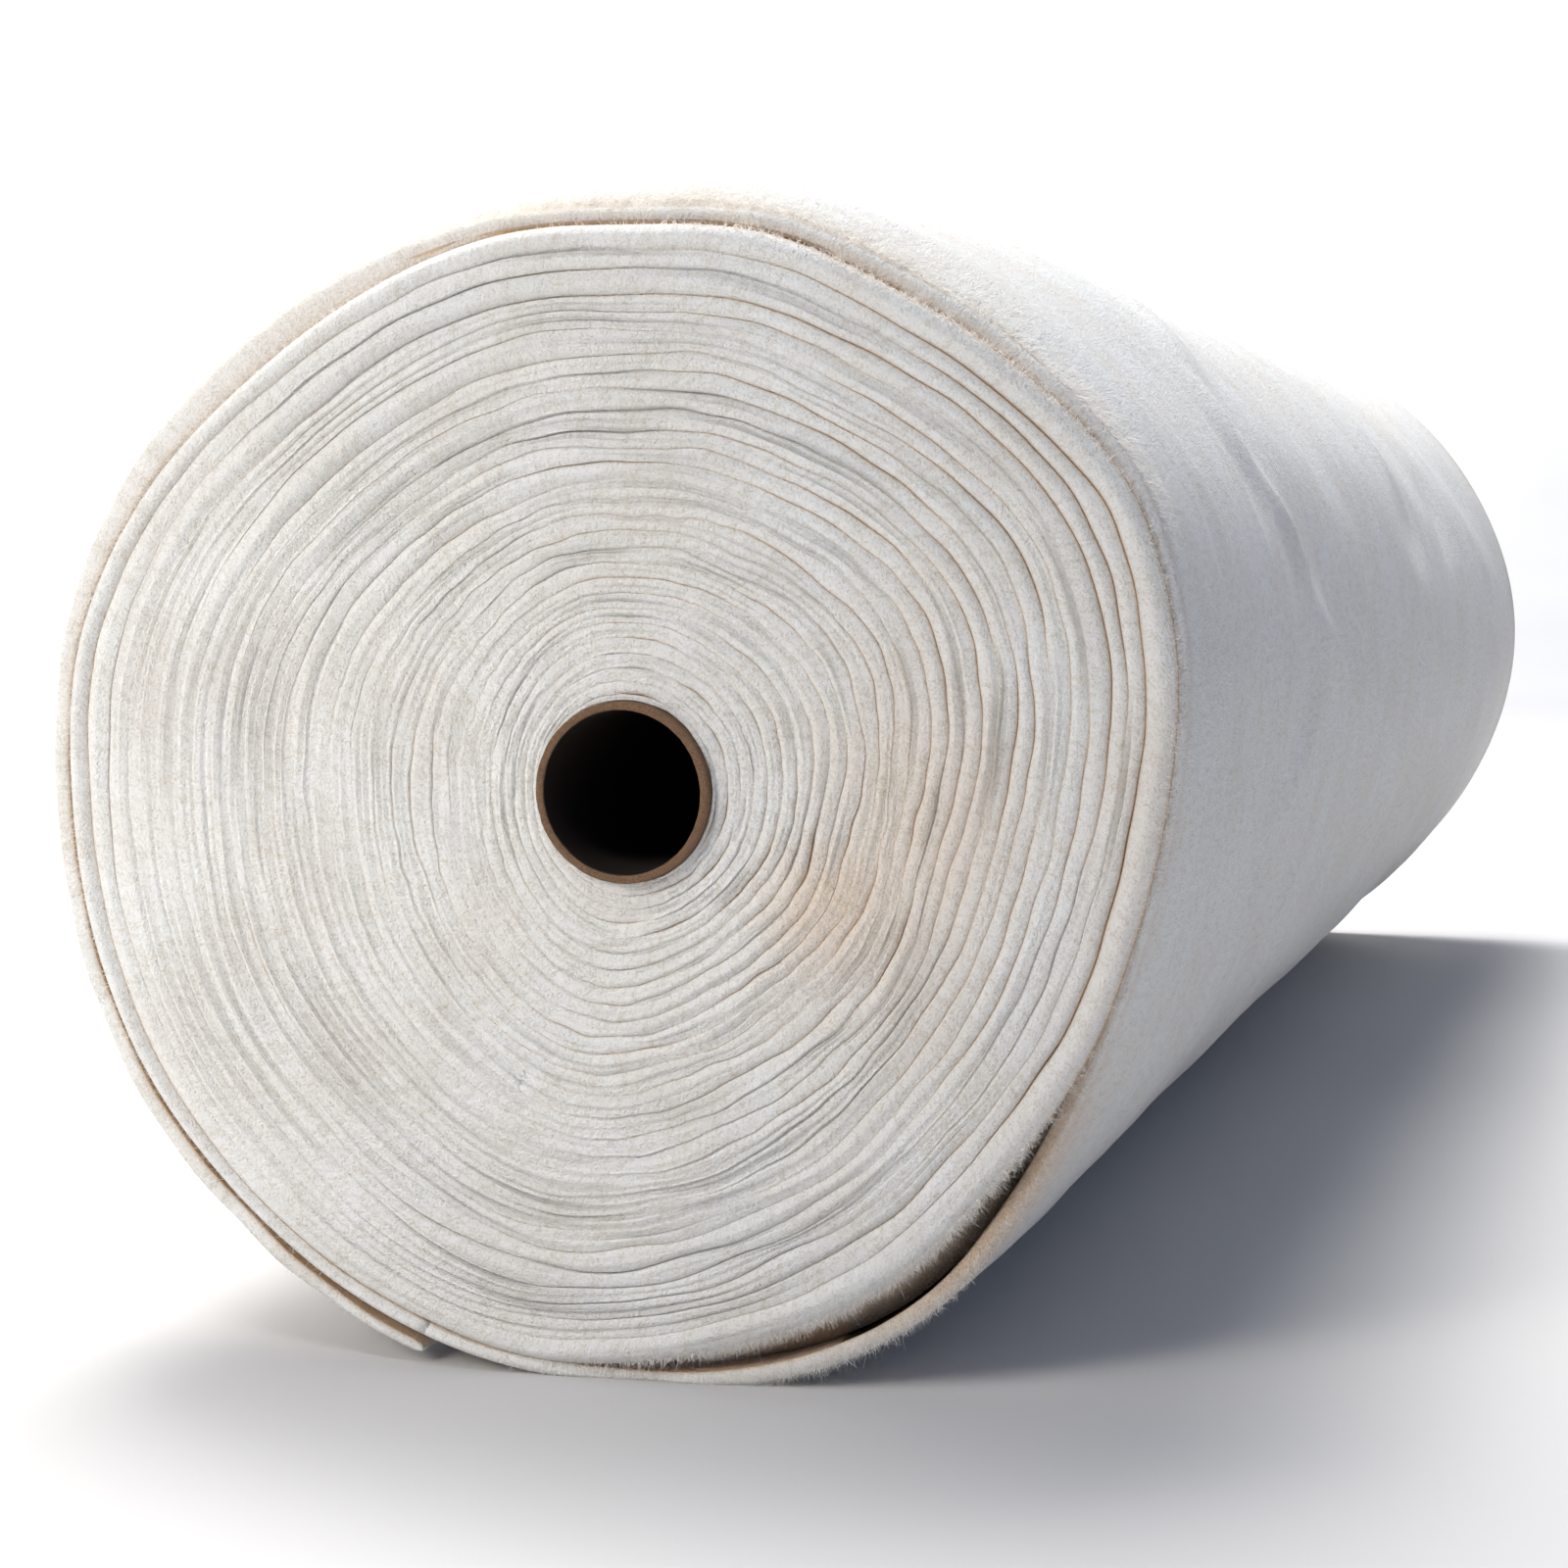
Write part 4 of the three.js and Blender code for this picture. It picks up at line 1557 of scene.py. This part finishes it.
@dataclass(frozen=True)
class Studio:
    """The pale floor, the soft lights and the camera at the photograph's place."""

    shape: RollShape
    azimuth: float = 17.21
    elevation: float = 5.44
    tilt: float = -0.72
    distance: float = 1.484
    aim_x: float = 0.0768
    aim_z: float = 0.0049
    lens_mm: float = 75.04
    floor_half: float = 9.0
    floor_bend: float = 5.0

    def camera(self) -> None:
        """Places the camera by azimuth, elevation and distance from a point on the near face."""
        a = math.radians(self.azimuth)
        e = math.radians(self.elevation)
        back = Vector((math.sin(a) * math.cos(e), -math.cos(a) * math.cos(e), math.sin(e)))
        right = (-back).cross(Vector((0, 0, 1))).normalized()
        up = right.cross(-back)
        c = math.cos(math.radians(self.tilt))
        s = math.sin(math.radians(self.tilt))
        right, up = c * right + s * up, c * up - s * right
        shape = self.shape
        aim = Vector((shape.core_x + self.aim_x, -shape.half_length * MM, shape.core_z + self.aim_z))
        data = bpy.data.cameras.new("camera")
        data.lens = self.lens_mm
        data.sensor_width = 36.0
        camera = bpy.data.objects.new("camera", data)
        turn = Matrix((right, up, back)).transposed().to_4x4()
        camera.matrix_world = Matrix.Translation(aim + back * self.distance) @ turn
        bpy.context.scene.collection.objects.link(camera)
        bpy.context.scene.camera = camera

    def floor(self) -> None:
        """Lays the pale floor, which curves up into a backdrop: a quarter circle carried sideways."""
        bend = self.floor_bend
        half = self.floor_half
        arc = np.radians(np.linspace(-90, 0, 32))
        y = np.r_[-half, half - bend + bend * np.cos(arc), half]
        z = np.r_[0.0, bend + bend * np.sin(arc), half]
        x = np.array([-half, half])
        grid = np.stack(np.broadcast_arrays(x[:, None], y[None, :], z[None, :]), -1)
        n = len(y)
        c = np.arange(n - 1)
        faces = np.stack([c, n + c, n + c + 1, c + 1], -1)
        floor = add_mesh("floor", grid.reshape(-1, 3), faces)
        material, tree = new_material("pale_painted_floor")
        place = add_node(tree, "ShaderNodeTexCoord").outputs["Object"]
        cloud = add_node(tree, "ShaderNodeTexNoise", {"Vector": place, "Scale": 1.5})
        paint = add_node(
            tree, "ShaderNodeValToRGB", {"Fac": cloud.outputs["Fac"]},
            stops=((0.3, "#d2d0ce"), (0.7, "#d7d5d3")),
        )
        shader = add_node(
            tree, "ShaderNodeBsdfPrincipled",
            {"Base Color": paint.outputs["Color"], "Roughness": 1.0, "Specular IOR Level": 0.0},
        )
        add_node(tree, "ShaderNodeOutputMaterial", {"Surface": shader.outputs["BSDF"]})
        floor.data.materials.append(material)

    def lights(self) -> None:
        """Hangs soft daylight overhead, weaker lights in front and behind, and a cool sky."""
        near = -self.shape.half_length * MM
        for light in (
            SoftLight("overhead", (-0.62, 0.7, 3.6), (0.0, 0.0, 0.3), 2.0, 96, "#fffefc", 125),
            SoftLight("front", (-1.3, -2.8, 1.6), (-0.6, near, 0.42), 1.0, 5.6, "#fffaf1", 52),
            SoftLight("foreground", (-0.4, -2.9, 3.0), (-0.4, -2.9, 0.0), 1.6, 30, "#fffdfa", 80),
            SoftLight("backdrop", (-3.6, 3.8, 6.5), (-3.2, 7.2, 0.4), 5.0, 640, "#ffffff", 142),
        ):
            light.hang()
        world = bpy.data.worlds.new("sky")
        world.use_nodes = True
        background = world.node_tree.nodes["Background"]
        background.inputs["Color"].default_value = linear("#b3c9f3")
        background.inputs["Strength"].default_value = 0.32
        bpy.context.scene.world = world
        bpy.context.scene.view_settings.view_transform = "Standard"

    def build(self) -> None:
        """Sets up the camera, the floor and the lights."""
        self.camera()
        self.floor()
        self.lights()


def read_shape() -> tuple[RollShape, float, float]:
    """Reads the roll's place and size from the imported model.

    Returns:
        The roll's shape, the core's inner radius and how far the core stands out, in millimetres.
    """
    core_low, core_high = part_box("core_tube")
    low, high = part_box("batting_roll")
    outside = (core_high.z - core_low.z) / 2 / MM
    shape = RollShape(
        core_x=(core_low.x + core_high.x) / 2,
        core_z=(core_low.z + core_high.z) / 2,
        half_length=(core_high.y - core_low.y) / 2 / MM - CORE_PROUD_MM,
        core_outside=outside,
    )
    LOG.info("cloth from %.3f to %.3f m along", low.y, high.y)
    return shape, outside - CORE_WALL_MM, CORE_PROUD_MM


def main() -> None:
    """Builds the roll piece by piece, and notes the size of the finished model."""
    logging.basicConfig(level=logging.INFO, format="%(name)s: %(message)s")
    shape, bore_radius, proud = read_shape()
    Studio(shape).build()
    batting = BattingFinish().build()
    kraft = KraftFinish().build()
    turns = Turns(shape)
    half = shape.inner_turns // 2
    inner = turns.build("turns_inner", 0.0, half, batting)
    outer = turns.build("turns_outer", half, float(shape.inner_turns), batting)
    outermost = OuterWrap(shape, turns)
    wrap = outermost.build("outer_wrap", batting)
    fibres = LooseFibres(shape, turns, outermost).build("loose_fibres", FibreFinish().build())
    core = PaperCore(shape, bore_radius, proud).build("paper_core", kraft)
    cloth = (inner, outer, wrap, fibres)
    for piece, slot in [(piece, Slot.BATTING) for piece in cloth] + [(core, Slot.CORE_BOARD)]:
        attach(piece, BODY)
        LOG.info("%s: %d faces", piece.name, len(piece.data.polygons))
    for piece in cloth:
        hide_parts("batting_roll")
    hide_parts("core_tube")


if __name__ == "__main__":
    main()
